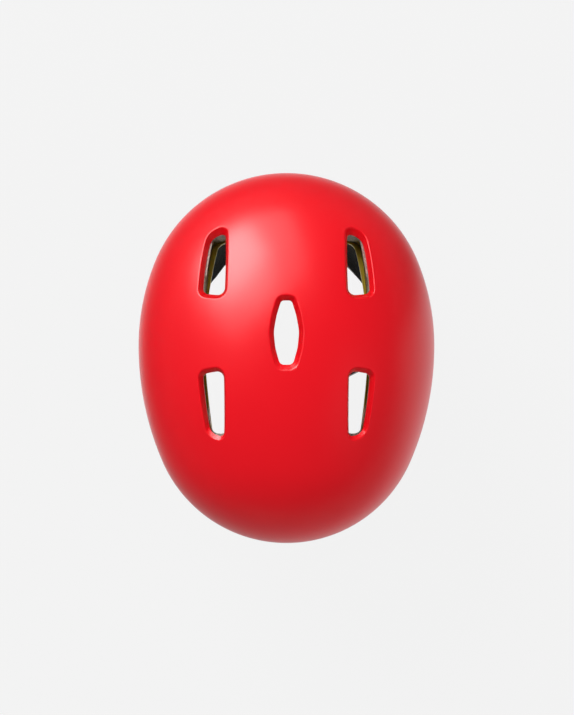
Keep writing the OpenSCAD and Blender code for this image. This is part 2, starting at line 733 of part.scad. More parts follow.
hub_y = cover_y + cover_t + 2;
knob_y = cover_y + cover_t + 0.4;
knob_t = 9;
knob_r = dial_d / 2;
click_r = knob_r - 3.8;
module pinion() {
    color("lightgray")
        translate([0, 0, -dial_drop])
            difference() {
                union() {
                    prism_y(left_y - 0.2, cover_y - 0.2) polygon(gear_pts());
                    prism_y(base_y + 0.3, left_y) circle(r = journal_r, $fn = 48);
                    prism_y(cover_y - 0.5, hub_y) circle(r = hub_r, $fn = 48);
                }
                prism_y(left_y + 1, hub_y + 1) circle(r = bore_r, $fn = 32);
            }
}
screw_r = bore_r - 0.04;
head_y = knob_y + 5;
module dial_screw() {
    color("silver")
        translate([0, 0, -dial_drop]) {
            prism_y(left_y + 1.5, head_y + 0.5) circle(r = screw_r, $fn = 32);
            prism_y(head_y + seat, head_y + 1.8) circle(r = 2.8, $fn = 48);
        }
}
module dial_knob() {
    grips = 16;
    color("black")
        translate([0, 0, -dial_drop])
            difference() {
                prism_y(knob_y, knob_y + knob_t)
                    difference() {
                        circle(r = knob_r);
                        for (i = [0:grips - 1]) rotate(i * 360 / grips)
                            translate([knob_r + 1.2, 0]) circle(r = 2.2, $fn = 32);
                    }
                prism_y(knob_y - 1, knob_y + 2.4)
                    difference() {
                        union() {
                            circle(r = click_r);
                            for (i = [0:23]) rotate(i * 15)
                                polygon([[click_r - 1, -1.2], [click_r + 0.9, -0.3], [click_r + 0.9, 0.3],
                                    [click_r - 1, 1.2]]);
                        }
                        circle(r = hub_r + 1.9, $fn = 48);
                    }
                prism_y(knob_y - 1, hub_y + 0.05) circle(r = hub_r + 0.02, $fn = 48);
                prism_y(knob_y - 1, knob_y + knob_t) circle(r = bore_r + 0.3, $fn = 32);
                prism_y(head_y, knob_y + knob_t + 1) circle(r = 7.1, $fn = 64);
            }
}
module dial_cap() {
    color("red")
        translate([0, 0, -dial_drop])
            prism_y(head_y + 2, knob_y + knob_t + 0.4) circle(r = 7.05, $fn = 64);
}
// Click spring: a leaf round the hub with a nose that reaches towards the dial's inner teeth
module click_spring() {
    y0 = cover_y + cover_t;
    color("silver")
        translate([0, 0, -dial_drop])
            prism_y(y0 + seat, y0 + 1.9) {
                difference() {
                    circle(r = click_r - 1.4, $fn = 64);
                    circle(r = click_r - 2.4, $fn = 64);
                    translate([-big / 2, -big]) square([big, big - 2]);
                }
                polygon([[-2, click_r - 2], [2, click_r - 2], [0.3, click_r - 0.3], [-0.3, click_r - 0.3]]);
            }
}

hang_wall = sqrt(pow(end_r[0] - fit_in - 1.2, 2) - hang_z * hang_z) + end_c[0];
hang_top = -dial_drop + house_z + tab_h;
module cradle_hanger() {
    p = [
        [0, hang_wall, hang_z + 5],
        [0, hang_wall - 3.6, hang_z - 4],
        [0, hang_wall - 10, hang_z - 12],
        [0, base_y + 8, hang_top + 6],
        [0, base_y + 5.3, hang_top],
        [0, base_y + 5.1, hang_top - tab_h + 1]];
    color("black") band(p, [for (i = [0:5]) [1, 0, 0]], 20, 1.8);
}

// Slip liner and pads

module slip_liner() {
    top = sin(roll_limit) * half_w;
    color("gold")
        difference() {
            egg_layer(foam_in + slip_gap, slip_in);
            vent_shafts(0.2);
            under_rim(8);
            box([-big, -big, -big], [big, big, hang_z + 11]);
            for (s = [0, 1]) mirror([s, 0, 0])
                box([20, fit_y - 11, -big], [big, fit_y + 11, fit_z + 5 + top]);
            on_slip_pins()
                translate([0, 0, -6]) linear_extrude(8) {
                    l = sin(roll_limit) * half_w;
                    translate([-l, -pin_r - 0.3]) square([2 * l, 2 * pin_r + 0.6]);
                    for (x = [-l, l]) translate([x, 0]) circle(r = pin_r + 0.3, $fn = 32);
                }
        }
}

// Roll from straight up and station of each hook dot
dot_spots = [
    [57, -88], [-57, -88], [22, -32], [-22, -32], [22, 50], [-22, 50],
    [78, -20], [78, 24], [-78, -20], [-78, 24], [62, 72], [-62, 72]];
module hook_dots() {
    color("black")
        for (p = dot_spots) on_egg(p[0], p[1], slip_in)
            translate([0, 0, -dot_t + 0.03]) cylinder(r = 5, h = dot_t - 0.25, $fn = 48);
}

module brow_pad() {
    color("dimgray")
        intersection() {
            egg_layer(dot_in, pad_in);
            prism_y(-big, -60) polygon(plate(-62, 8, 62, 32, 8));
        }
}
module crown_pad() {
    color("dimgray")
        intersection() {
            egg_layer(dot_in, pad_in);
            translate([0, 0, 20])
                linear_extrude(big)
                    difference() {
                        polygon(plate(-33, vent_mid_y - 50, 33, vent_mid_y + 52, 12));
                        polygon(plate(-13, vent_mid_y - 32, 13, vent_mid_y + 32, 8));
                    }
        }
}
module side_pad_left() {
    color("dimgray")
        intersection() {
            egg_layer(dot_in, pad_in);
            prism_x(20, big) polygon(plate(-38, -2, 42, 34, 10));
        }
}
module side_pad_right() mirror([1, 0, 0]) side_pad_left();
module rear_pad_left() {
    color("dimgray")
        intersection() {
            egg_layer(dot_in, pad_in);
            prism_y(20, big) polygon(plate(12, 2, 56, 32, 8));
        }
}
module rear_pad_right() mirror([1, 0, 0]) rear_pad_left();

outer_shell();
edge_trim();
foam_liner();
strap_anchor_front_left();
strap_anchor_front_right();
strap_anchor_rear_left();
strap_anchor_rear_right();
front_strap_left();
front_strap_right();
rear_strap_left();
rear_strap_right();
strap_divider_left();
strap_divider_right();
chin_strap_left();
chin_strap_right();
strap_tail();
strap_keeper();
buckle_socket();
temple_anchor_left();
temple_anchor_right();
cradle_anchor();
fit_arm_left();
fit_arm_right();
cradle_hanger();
slip_pins();
slip_liner();
hook_dots();
brow_pad();
crown_pad();
side_pad_left();
side_pad_right();
rear_pad_left();
rear_pad_right();
dial_housing();
housing_cover();
cradle_pad();
click_spring();
dial_knob();
pinion();
dial_screw();
dial_cap();
fit_rack_left();
fit_rack_right();
buckle_plug();
plug_prong_outer();
plug_prong_inner();
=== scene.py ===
"""Open-face sport helmet seen from straight above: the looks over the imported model, in metres."""
import bpy
import bmesh
import json
import math
import numpy as np
from mathutils import Matrix, Vector
from mathutils.geometry import delaunay_2d_cdt


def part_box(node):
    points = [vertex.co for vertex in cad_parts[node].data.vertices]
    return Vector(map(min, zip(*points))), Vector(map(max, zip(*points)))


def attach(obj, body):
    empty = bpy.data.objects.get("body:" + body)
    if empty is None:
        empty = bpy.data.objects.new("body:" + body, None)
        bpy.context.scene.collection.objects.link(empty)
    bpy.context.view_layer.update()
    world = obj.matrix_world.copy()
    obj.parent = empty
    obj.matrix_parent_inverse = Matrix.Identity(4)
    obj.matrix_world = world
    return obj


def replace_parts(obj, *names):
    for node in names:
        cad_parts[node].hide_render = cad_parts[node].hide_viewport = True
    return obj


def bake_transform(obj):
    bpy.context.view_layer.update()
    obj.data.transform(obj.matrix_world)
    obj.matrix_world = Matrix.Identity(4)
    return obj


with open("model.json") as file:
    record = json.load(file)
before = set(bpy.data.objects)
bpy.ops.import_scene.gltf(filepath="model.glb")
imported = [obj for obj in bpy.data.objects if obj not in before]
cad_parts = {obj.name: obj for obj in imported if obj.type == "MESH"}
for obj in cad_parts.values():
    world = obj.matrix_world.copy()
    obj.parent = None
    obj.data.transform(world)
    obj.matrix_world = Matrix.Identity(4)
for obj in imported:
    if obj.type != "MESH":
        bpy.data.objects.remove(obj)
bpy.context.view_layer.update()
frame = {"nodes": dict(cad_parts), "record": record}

MM = 0.001
FLOOR_Z, FLOOR_HALF = -213.0, 3000.0
FLOOR_GLOW = 0.868  # what the camera sees before any light falls on it
FLOOR_SHADE, FLOOR_PLAIN = 0.03, 0.80
SKY = 0.41
# What reflections, the camera and rays that pass through something see of the sky instead.
SKY_SEEN = (("Glossy", 0.03), ("Camera", 0.88), ("Transmission", 0.88))
PHOTO_HIGH = 715  # rows of the photograph
PHOTO_SCALE = 0.745236 * MM  # what one of them spans at the shell's widest level
EYE = (0.0004, -0.0086, 1.6)  # in metres, as the lamps' places are
LAMP_AIM = Vector((0, 0, 0.03))

# The egg that the shell, foam and liner are turned from, in millimetres, as (rear, front).
HALF_W = 110.0
END_R = np.array([105.5, 100.5])
END_C = np.array([23.0, 46.0])
SIDE_R = (HALF_W ** 2 + END_C ** 2 - END_R ** 2) / (2 * (HALF_W - END_R))
SHELL_T = 2.0
SHELL_LIFT = 5.6  # the shell ends this far above the rim line
COLLAR_DEPTH = 7.0
DRAFT = math.tan(math.radians(24))
FOAM_IN, DOT_IN, PAD_IN = 25.0, 27.3, 32.3  # how deep the inner faces of foam, hook dots and pads lie
OUTER_PITCH, INNER_PITCH = 0.017, 0.026  # the skins' mesh, as laid flat round the crown

# Side view of the helmet's lower edge: y, z and corner radius.
RIM_LINE = [(-200, -2, 0), (-98, -5, 60), (-60, -34, 20), (-30, -34, 18), (-10, -21, 25),
            (22, -21, 22), (48, -52, 22), (200, -52, 0)]
RIM_BETWEEN = (55, 158)  # degrees from the crown, between which the rim lies everywhere
RIM_POINTS = 420


# The shape of the shell

def unit(v):
    v = np.asarray(v, float)
    return v / np.linalg.norm(v, axis=-1, keepdims=True)


def about(axis, degrees):
    return np.array(Matrix.Rotation(math.radians(degrees), 3, axis))


def egg_parts(p):
    """Radius about the axis, distance along it, the half's radii, and whether a point lies in the end arc."""
    i = (p[:, 1] < 0).astype(int)
    rho = np.maximum(np.hypot(p[:, 0], p[:, 2]), 1e-9)
    d = np.abs(p[:, 1])
    r, c, s = END_R[i], END_C[i], SIDE_R[i]
    return rho, d, r, c, s, d * (s - HALF_W) > c * (rho + s - HALF_W)


def inset(p):
    """How far points lie inside the egg's outer surface."""
    rho, d, r, c, s, at_end = egg_parts(p)
    return np.where(at_end, r - np.hypot(rho, d - c), s - np.hypot(rho + s - HALF_W, d))


def outward(p):
    """Directions out of the egg at points."""
    rho, d, _, c, s, at_end = egg_parts(p)
    a = np.where(at_end, rho, rho + s - HALF_W)
    b = np.where(at_end, d - c, d)
    n = np.hypot(a, b)
    return np.stack([p[:, 0] / rho * a / n, np.sign(p[:, 1]) * b / n, p[:, 2] / rho * a / n], 1)


def onto_egg(way, t):
    """Where rays from the middle along unit directions meet the surface inset by t."""
    r = np.full(len(way), 100.0)
    for _ in range(7):
        p = way * r[:, None]
        r = r + (inset(p) - t) / np.maximum((outward(p) * way).sum(1), 0.2)
    return way * r[:, None]


def egg_r(y, t):
    """Radius of the surface inset by t at stations y."""
    y = np.atleast_1d(np.asarray(y, float))
    p = np.stack([np.full(len(y), 60.0), y, np.zeros(len(y))], 1)
    for _ in range(40):
        p[:, 0] += inset(p) - t
        p[:, 0] = np.maximum(p[:, 0], 0)
    return p[:, 0]


def rounded(corners, grow=0.0, steps=8, runs=1):
    """Outline with rounded corners, grown outward, with each straight run cut into so many pieces."""
    n = len(corners)
    xy = np.array([c[:2] for c in corners], float)
    into = [unit(xy[i] - xy[i - 1]) for i in range(n)]
    arcs = []
    for i in range(n):
        a, b = into[i], into[(i + 1) % n]
        angle = math.atan2(a[0] * b[1] - a[1] * b[0], float(a @ b))
        r = corners[i][2] * (1 if angle >= 0 else -1)
        c = xy[i] + r * (np.array([-a[1], a[0]]) - a * math.tan(angle / 2))
        a0 = math.atan2(a[1], a[0]) - math.pi / 2
        turn = a0 + angle * np.linspace(0, 1, steps + 1)
        arcs.append(c + (r + grow) * np.stack([np.cos(turn), np.sin(turn)], 1))
    out = []
    for i in range(n):
        out.append(arcs[i])
        a, b = arcs[i][-1], arcs[(i + 1) % n][0]
        share = np.linspace(0, 1, runs + 1)[1:-1, None]
        out.append(a + (b - a) * share)
    return np.vstack(out)


def rim_height(y):
    """Height of the rim line at stations y."""
    line = [(-200.0, -300.0, 0), (200.0, -300.0, 0)] + RIM_LINE[::-1]
    pts = rounded(line, steps=12)[1:]
    pts = pts[pts[:, 1] > -299]
    order = np.argsort(pts[:, 0])
    return np.interp(y, pts[order, 0], pts[order, 1])


def rim_loop(t, lift):
    """Points round the rim, on the surface inset by t, at a height over the rim line."""
    a = np.linspace(0, 2 * math.pi, RIM_POINTS, endpoint=False)
    lo, hi = (np.full(RIM_POINTS, math.radians(angle)) for angle in RIM_BETWEEN)
    for _ in range(36):
        mid = (lo + hi) / 2
        way = np.stack([np.sin(mid) * np.cos(a), np.sin(mid) * np.sin(a), np.cos(mid)], 1)
        p = onto_egg(way, t)
        above = p[:, 2] > rim_height(p[:, 1]) + lift
        lo, hi = np.where(above, mid, lo), np.where(above, hi, mid)
    return p


VENT_MID_Y = 8.0
SIDE_VENT_X = 44.5  # the side vents' straight inner walls
SIDE_VENT_START = 26.8  # their wide ends, from the crown vent's middle
SIDE_VENT_LONG = 43.0
SIDE_VENT_WIDE = ((16.0, 9.0), (16.6, 8.4))  # at the wide end and the tip, low and high
SIDE_VENT_TIP = (6.0, 1.6)
SIDE_VENT_ROLL = 8
SLOPE_X = SIDE_VENT_X + 6.25  # where their slope is measured
# A vent's corners are given as x, y and radius: at its collar's lower edge, and a collar's depth above it.
CROWN = [(8.75, 1.5, 25), (7.2, 13, 30), (4.6, 24.7, 3.6), (-4.6, 24.7, 3.6), (-7.2, 13, 30),
         (-8.75, 1.5, 25), (-7.4, -10, 30), (-4.3, -21.4, 3.6), (4.3, -21.4, 3.6), (7.4, -10, 30)]
CROWN_HIGH = [(x + 0.6 * np.sign(x), y * 1.06, r) for x, y, r in CROWN]
# How far a side vent's wide end and tip move along it, low and high.
# The rear vents' walls are thick at both ends.
REAR_ENDS = ((2.2, -1.9), (0.4, 0.0))
FRONT_ENDS = ((1.0, 0.7), (0.0, 0.7))
# The side vents' inner walls stand steeper: at the top they lie this much nearer the vent's middle.
REAR_STEEP, FRONT_STEEP = 0.6, 1.2
# How much shallower each vent's collar gets at its front end, in the order of vent_frames, and where that
# starts and how long it takes, as shares of the vent's length.
SHALLOW = (0.3, 0, 0, 0.62, 0.62)
SHALLOW_FROM, SHALLOW_OVER = 0.8, 0.16
LIP_TURN = 1.2  # points of the lip wider than this lie on the collar's far side
WALL_BETWEEN = (-8, 24)  # heights between which a vent's wall meets the surfaces


def collar_z(x, y):
    """Height of a collar's lower edge over a plan point."""
    return math.sqrt(egg_r(y, COLLAR_DEPTH)[0] ** 2 - x * x)


def side_corners(near, far, wide, narrow, inner=0.0, tip=(4.0, 3.6)):
    """A side vent's corners from its wide end to its tip, with the radii of the tip's two corners."""
    return [(inner, near, 4), (wide, near, 4), (narrow, far, tip[0]), (inner, far, tip[1])]


# The side vents' corners in the foam and in the slip liner.
SLOPE_LONG = SIDE_VENT_LONG / math.cos(math.radians(24))
FOAM_REAR = side_corners(0, SLOPE_LONG + 1.8, 17.9, 14)
FOAM_FRONT = side_corners(-0.5, SLOPE_LONG + 2.6, 19.8, 14.6)
SHEET_REAR = side_corners(0, SLOPE_LONG, 17.5, 10)
SHEET_FRONT = side_corners(-0.5, SLOPE_LONG + 1.9, 19.0, 13.8)


def vent_frames():
    """Each of the five vents: its place, its axes, its lean, and its low and high corners."""
    frames = [(np.array([0, VENT_MID_Y, collar_z(0, VENT_MID_Y)]), np.eye(3), 0.0, CROWN, CROWN_HIGH)]
    for toward, pitch, ends, steep in ((1, 10, REAR_ENDS, REAR_STEEP), (-1, 4, FRONT_ENDS, FRONT_STEEP)):
        y0 = VENT_MID_Y + toward * SIDE_VENT_START
        z0, z1 = collar_z(SLOPE_X, y0), collar_z(SLOPE_X, y0 + toward * SIDE_VENT_LONG)
        slope = math.degrees(math.atan((z0 - z1) / SIDE_VENT_LONG))
        long = SIDE_VENT_LONG / math.cos(math.radians(slope))
        low, high = (side_corners(end[0], long + end[1], *wide, inner, SIDE_VENT_TIP)
                     for end, wide, inner in zip(ends, SIDE_VENT_WIDE, (0.0, steep)))
        turn = about("X", -toward * slope) @ about("Y", SIDE_VENT_ROLL) @ np.diag([1, toward, 1])
        for side in (1, -1):
            place = np.array([side * SIDE_VENT_X, y0, z0])
            frames.append((place, np.diag([side, 1, 1]) @ turn, slope - pitch, low, high))
    return frames


def vent_outline(vent, grow, z, steps=8, runs=9):
    """A vent's outline at a height over its collar's lower edge."""
    place, axes, lean, low, high = vent
    corners = [(a[0] + (b[0] - a[0]) * z / COLLAR_DEPTH, a[1] + (b[1] - a[1]) * z / COLLAR_DEPTH, a[2])
               for a, b in zip(low, high)]
    flat = rounded(corners, grow, steps, runs)
    shift = z * math.tan(math.radians(lean))
    return np.stack([flat[:, 0], flat[:, 1] - shift, np.full(len(flat), z)], 1) @ axes.T + place


def vent_loop(vent, grow, t):
    """Points where a vent's drafted wall, grown outward, meets the surface inset by t."""
    low, high = (vent_outline(vent, grow + z * DRAFT, z) for z in WALL_BETWEEN)
    lo, hi = np.zeros(len(low)), np.ones(len(low))
    for _ in range(40):
        mid = (lo + hi) / 2
        deep = inset(low + (high - low) * mid[:, None]) > t
        lo, hi = np.where(deep, mid, lo), np.where(deep, hi, mid)
    return low + (high - low) * ((lo + hi) / 2)[:, None]


# Mesh making

def add_object(name, data):
    obj = bpy.data.objects.new(name, data)
    bpy.context.scene.collection.objects.link(obj)
    return obj


def shade_smooth(data, smooth=True):
    data.polygons.foreach_set("use_smooth", [smooth] * len(data.polygons))


def add_mesh(name, points, faces, smooth=True):
    """A new object from points in millimetres."""
    data = bpy.data.meshes.new(name)
    data.from_pydata((np.asarray(points) * MM).tolist(), [], [list(map(int, f)) for f in faces])
    data.update()
    shade_smooth(data, smooth)
    return add_object(name, data)


def strip(a, b):
    """Quads between two closed rings of point numbers."""
    n = len(a)
    return [(a[i], a[(i + 1) % n], b[(i + 1) % n], b[i]) for i in range(n)]


def tube(rings):
    """Quads along a row of rings."""
    return [f for a, b in zip(rings, rings[1:]) for f in strip(a, b)]


def numbered(count, size, start=0):
    """Point numbers of a row of rings."""
    return [list(range(start + i * size, start + (i + 1) * size)) for i in range(count)]


def in_polygon(p, ring):
    """Which points lie inside a closed outline."""
    inside = np.zeros(len(p), bool)
    x0, y0 = ring[-1]
    for x1, y1 in ring:
        cut = (y0 > p[:, 1]) != (y1 > p[:, 1])
        if cut.any():
            inside ^= cut & (p[:, 0] < (x0 - x1) * (p[:, 1] - y1) / (y0 - y1 + 1e-30) + x1)
        x0, y0 = x1, y1
    return inside


def flat_map(p):
    """The egg's points laid flat round the crown."""
    u = unit(p)
    return u[:, :2] / (1 + u[:, 2:3])


def nearest(points, others):
    """How far each point lies from the nearest of some others."""
    far = np.empty(len(points))
    for start in range(0, len(points), 1500):
        part = points[start:start + 1500]
        far[start:start + 1500] = np.sqrt(((part[:, None] - others[None]) ** 2).sum(2).min(1))
    return far


def skin(t, rim, holes, pitch):
    """Triangles over the surface inset by t, from its rim to its vents: points, faces, rings of numbers."""
    loops = [rim] + holes
    flat = [flat_map(loop) for loop in loops]

    def covered(p):
        inside = in_polygon(p, flat[0])
        for ring in flat[1:]:
            inside &= ~in_polygon(p, ring)
        return inside

    reach = 1.7
    rows = np.arange(-reach, reach, pitch * math.sqrt(3) / 2)
    grid = np.array([(x + (i % 2) * pitch / 2, y) for i, y in enumerate(rows)
                     for x in np.arange(-reach, reach, pitch)])
    grid = grid[covered(grid)]
    edge = np.vstack(flat)
    grid = grid[nearest(grid, edge) > 0.55 * pitch]
    square = (grid ** 2).sum(1)[:, None]
    way = np.concatenate([grid * 2, 1 - square], 1) / (1 + square)
    points = np.vstack(loops + [onto_egg(way, t)])
    plane = np.vstack([edge, grid])
    rings, edges, start = [], [], 0
    for loop in loops:
        ring = list(range(start, start + len(loop)))
        rings.append(ring)
        edges += [(ring[i], ring[(i + 1) % len(ring)]) for i in range(len(ring))]
        start += len(loop)
    result = delaunay_2d_cdt([Vector(p) for p in plane], edges, [], 0, 1e-9)
    origin = [o[0] if o else -1 for o in result[3]]
    faces = np.array([[origin[v] for v in f] for f in result[2]])
    faces = faces[(faces >= 0).all(1)]
    one, two = plane[faces[:, 1]] - plane[faces[:, 0]], plane[faces[:, 2]] - plane[faces[:, 0]]
    back = one[:, 0] * two[:, 1] < one[:, 1] * two[:, 0]
    faces[back] = faces[back][:, ::-1]
    return points, faces[covered(plane[faces].mean(1))], rings


def raised(ring, grow, t, less):
    """A collar's ring at depth t, lifted toward its front end, where the collar is shallower by a share."""
    if less == 0 or t == 0:
        return ring
    share = (ring[:, 1].max() - ring[:, 1]) / np.ptp(ring[:, 1])
    front = np.clip((share - SHALLOW_FROM) / SHALLOW_OVER, 0, 1)
    depth = t * (1 - less)
    if grow > LIP_TURN:
        depth = SHELL_T + (t - SHELL_T) * (COLLAR_DEPTH * (1 - less) - SHELL_T) / (COLLAR_DEPTH - SHELL_T)
    lift = (t - depth) * front * front * (3 - 2 * front) / outward(ring)[:, 2]
    return ring + lift[:, None] * [0, 0, 1]


def make_shell():
    """Hard shell: outer and inner skins, each vent with a rounded lip and a drafted, moulded collar."""
    vents = vent_frames()
    lip = [(1.1, 0.0), (0.8, 0.02), (0.5, 0.08), (0.28, 0.2), (0.12, 0.38), (0.03, 0.66), (0.0, 1.05),
           (0.0, 1.5), (0.0, 3.0), (0.0, 4.6), (0.0, 6.1), (0.06, 6.5), (0.28, 6.82), (0.6, 6.97),
           (1.0, 6.97), (1.32, 6.82), (1.54, 6.5), (1.6, 6.1), (1.6, 4.0), (1.6, SHELL_T)]
    rim_out, rim_in = rim_loop(0.0, SHELL_LIFT), rim_loop(SHELL_T, SHELL_LIFT)
    outer, outer_faces, outer_rings = skin(0.0, rim_out, [vent_loop(v, *lip[0]) for v in vents], OUTER_PITCH)
    inner, inner_faces, inner_rings = skin(SHELL_T, rim_in, [vent_loop(v, *lip[-1]) for v in vents],
                                           INNER_PITCH)
    points = [outer, inner]
    faces = [tuple(f) for f in outer_faces] + [tuple(f[::-1] + len(outer)) for f in inner_faces]

    def add_ring(ring):
        start = sum(len(part) for part in points)
        points.append(ring)
        return list(range(start, start + len(ring)))

    for k, vent in enumerate(vents):
        last = outer_rings[k + 1]
        mirrored = np.linalg.det(vent[1]) < 0
        for grow, t in lip[1:]:
            if t == SHELL_T:
                now = [i + len(outer) for i in inner_rings[k + 1]]
            else:
                now = add_ring(raised(vent_loop(vent, grow, t), grow, t, SHALLOW[k]))
            faces += strip(now, last) if mirrored else strip(last, now)
            last = now
    last = outer_rings[0]
    for t, lift in ((0.06, 5.35), (0.3, 5.2), (1.7, 5.2), (1.94, 5.35)):
        now = add_ring(rim_loop(t, lift))
        faces += strip(now, last)
        last = now
    faces += strip([i + len(outer) for i in inner_rings[0]], last)
    points = np.vstack(points)
    obj = add_mesh("shell_moulding", points, faces)
    normals = np.zeros((len(points), 3))
    normals[:len(outer)] = outward(outer)
    obj.data.normals_split_custom_set_from_vertices(normals.tolist())
    return obj


def make_trim():
    """Soft edge trim: an L-shaped moulding that caps the shell's edge and covers the foam's."""
    profile = [(0.5, 5.0), (0.2, 4.9), (0.04, 4.65), (0, 4.2), (0, 2.5), (0, 0.6), (0.03, -0.2),
               (0.16, -0.75), (0.5, -1.1), (1.0, -1.2), (3.4, -1.2), (3.7, -1.02), (4.0, -1.2), (6.8, -1.2),
               (7.4, -1.12), (7.75, -0.85), (7.85, -0.5), (7.7, -0.15), (7.3, -0.03), (4.5, -0.02),
               (2.3, -0.02), (2.25, 0.3), (2.25, 4.6), (2.1, 4.9), (1.8, 5.0)]
    loops = [rim_loop(t, lift) for t, lift in profile]
    rings = numbered(len(loops), RIM_POINTS)
    obj = add_mesh("edge_moulding", np.vstack(loops), tube(rings + rings[:1]))
    tidy_normals(obj)
    return obj


def widened(node, name, grow, rear, front, top):
    """A layer's own mesh with its vents cut wider: the side vents up to a height, by their own corners."""
    foot, flare_at, flare_top = -45, -3.5, 8  # heights over a vent's own place, as top is
    straight, flared, inward = 2.1, 7.2, 1.8
    layer = node_copy(node, name)
    vents = vent_frames()
    crown = vents[0][:3] + (CROWN, CROWN)
    plugs = [[vent_outline(crown, straight, foot), vent_outline(crown, straight, flare_at),
              vent_outline(vents[0], flared, flare_top)]]
    for i, (place, axes, lean, _, _) in enumerate(vents[1:]):
        corners = rear if i < 2 else front
        vent = (place - axes @ np.array([inward, 0, 0]), axes, lean, corners, corners)
        plugs.append([vent_outline(vent, grow, z, 6, 2) for z in (foot, top)])
    points, faces, count = [], [], 0
    for rings in plugs:
        numbers = numbered(len(rings), len(rings[0]), count)
        faces += tube(numbers) + [numbers[0][::-1], numbers[-1]]
        points += rings
        count += len(rings) * len(rings[0])
    plugs = add_mesh("vent_plugs", np.vstack(points), faces, False)
    tidy_normals(plugs)
    use_modifier(layer, "BOOLEAN", operation="DIFFERENCE", solver="EXACT", object=plugs)
    bake_modifiers(layer)
    bpy.data.objects.remove(plugs)
    shade_smooth(layer.data)
    layer.data.set_sharp_from_angle(angle=math.radians(35))
    return layer


def tidy_normals(obj, angle=None):
    """Faces turned outward, with edges sharper than an angle in degrees kept sharp."""
    work = bmesh.new()
    work.from_mesh(obj.data)
    bmesh.ops.recalc_face_normals(work, faces=work.faces)
    work.to_mesh(obj.data)
    work.free()
    if angle is not None:
        obj.data.set_sharp_from_angle(angle=math.radians(angle))


# Webbing

ANCHOR_DROP = 3.1
ANCHOR_SEAT = 0.05
FRONT_ANCHOR = (-44.5, -34.0, 14.5)  # y, z and how deep it lies under the shell's surface
REAR_ANCHOR = (67.0, -52.0, 12.5)
DIVIDER = np.array([68.0, 2.0, -106.0])
APEX = np.array([1, 12])  # where the upper straps' near edges meet, in y and z from the divider's middle
TUCKED = 0.8  # how far a strap's end reaches into its divider
WEB_W, WEB_T = 15.0, 1.3
BUCKLE_DIR = unit([-36, -19, -42])
BUCKLE_AT = np.array([58.0, -5.0, -134.0])
BUCKLE_ACROSS = unit(np.array([0, 1, 0]) - BUCKLE_DIR * BUCKLE_DIR[1])


def across_x(y, z, t):
    return math.sqrt(egg_r(y, t)[0] ** 2 - z * z)


def rim_turn(y, z, t):
    return math.atan((across_x(y - 1, z, t) - across_x(y + 1, z, t)) / 2)


def upper_route(y, z, t, lead, sign):
    """Centres and width directions of the strap from an anchor to the divider on +X, where it heads for a
    point given in y and z from the divider's middle."""
    x, angle = across_x(y, z, t), rim_turn(y, z, t)
    start = np.array([x, y, z - ANCHOR_SEAT - ANCHOR_DROP])
    run = unit([DIVIDER[1] + lead[0] - y, DIVIDER[2] + lead[1] - z + ANCHOR_SEAT + 3])
    edge = np.array([-run[1], run[0]]) * (WEB_W + 1) * sign
    yz = DIVIDER[1:] + APEX - edge / 2 + run * TUCKED
    end = np.array([DIVIDER[0], yz[0], yz[1]])
    way = np.array([0, run[0], run[1]])
    drop = start - [0, 0, 2.5]
    last = end - way * 12
    side = np.array([0, -run[1], run[0]])
    root = np.array([-math.sin(angle), math.cos(angle), 0])
    centres = [start, drop, (drop * 3 + last) / 4, (drop + last) / 2, last, end]
    return centres, [root, root, root + side, side, side, side]


def flip(p):
    return np.array([-p[0], p[1], p[2]])


CHIN_END = DIVIDER + [0, 0, TUCKED - 10]
PLUG_END = BUCKLE_AT + BUCKLE_DIR * 43.3
LOW = PLUG_END + [-11, -5.3, -11]
LOWEST = LOW + [-12, -3.3, -7]
UPPER_CHIN = [CHIN_END, CHIN_END - [0, 0, 5], BUCKLE_AT - BUCKLE_DIR * 9, BUCKLE_AT - BUCKLE_DIR * 0.1]
CHIN_LOOP = [PLUG_END + BUCKLE_DIR * 0.1, LOW, LOWEST, flip(LOWEST), flip(LOW), flip(PLUG_END),
             flip((PLUG_END + BUCKLE_AT) / 2), flip(BUCKLE_AT), flip(CHIN_END - [0, 0, 7]), flip(CHIN_END)]


def tail_route():
    """Centres of the loose tail, beside the chin strap's lower end."""
    gap = WEB_T + 0.5
    points = []
    for i in range(6):
        way = unit(CHIN_LOOP[min(i + 1, 5)] - CHIN_LOOP[max(i - 1, 0)])
        out = np.cross(way, unit(np.array([0, 1, 0]) - way * way[1]))
        points.append(CHIN_LOOP[i] + out * gap + (BUCKLE_DIR * 2 if i == 0 else 0))
    return points


def along(points, pitch):
    """A smooth line that keeps close to the straight runs between points, with how far along its samples lie
    and how far along the points do."""
    p = np.asarray(points, float)
    n = len(p)
    length = np.concatenate([[0], np.cumsum(np.linalg.norm(np.diff(p, axis=0), axis=1))])
    slope = np.zeros_like(p)
    for i in range(1, n - 1):
        a, b = length[i] - length[i - 1], length[i + 1] - length[i]
        slope[i] = ((p[i] - p[i - 1]) / a * b + (p[i + 1] - p[i]) / b * a) / (a + b)
    slope[0] = (p[1] - p[0]) / length[1]
    slope[-1] = (p[-1] - p[-2]) / (length[-1] - length[-2])
    s = np.linspace(0, length[-1], max(8, int(length[-1] / pitch)) + 1)
    k = np.clip(np.searchsorted(length, s, "right") - 1, 0, n - 2)
    h = (length[k + 1] - length[k])[:, None]
    u = ((s - length[k])[:, None]) / h
    out = ((2 * u ** 3 - 3 * u ** 2 + 1) * p[k] + (u ** 3 - 2 * u ** 2 + u) * h * slope[k]
           + (-2 * u ** 3 + 3 * u ** 2) * p[k + 1] + (u ** 3 - u ** 2) * h * slope[k + 1])
    return out, s, length


def even_section(half):
    """A strap's upper side in shares of its half width and thickness, from its points up to the middle."""
    return half + [(-a, b) for a, b in half[-2:0:-1]]


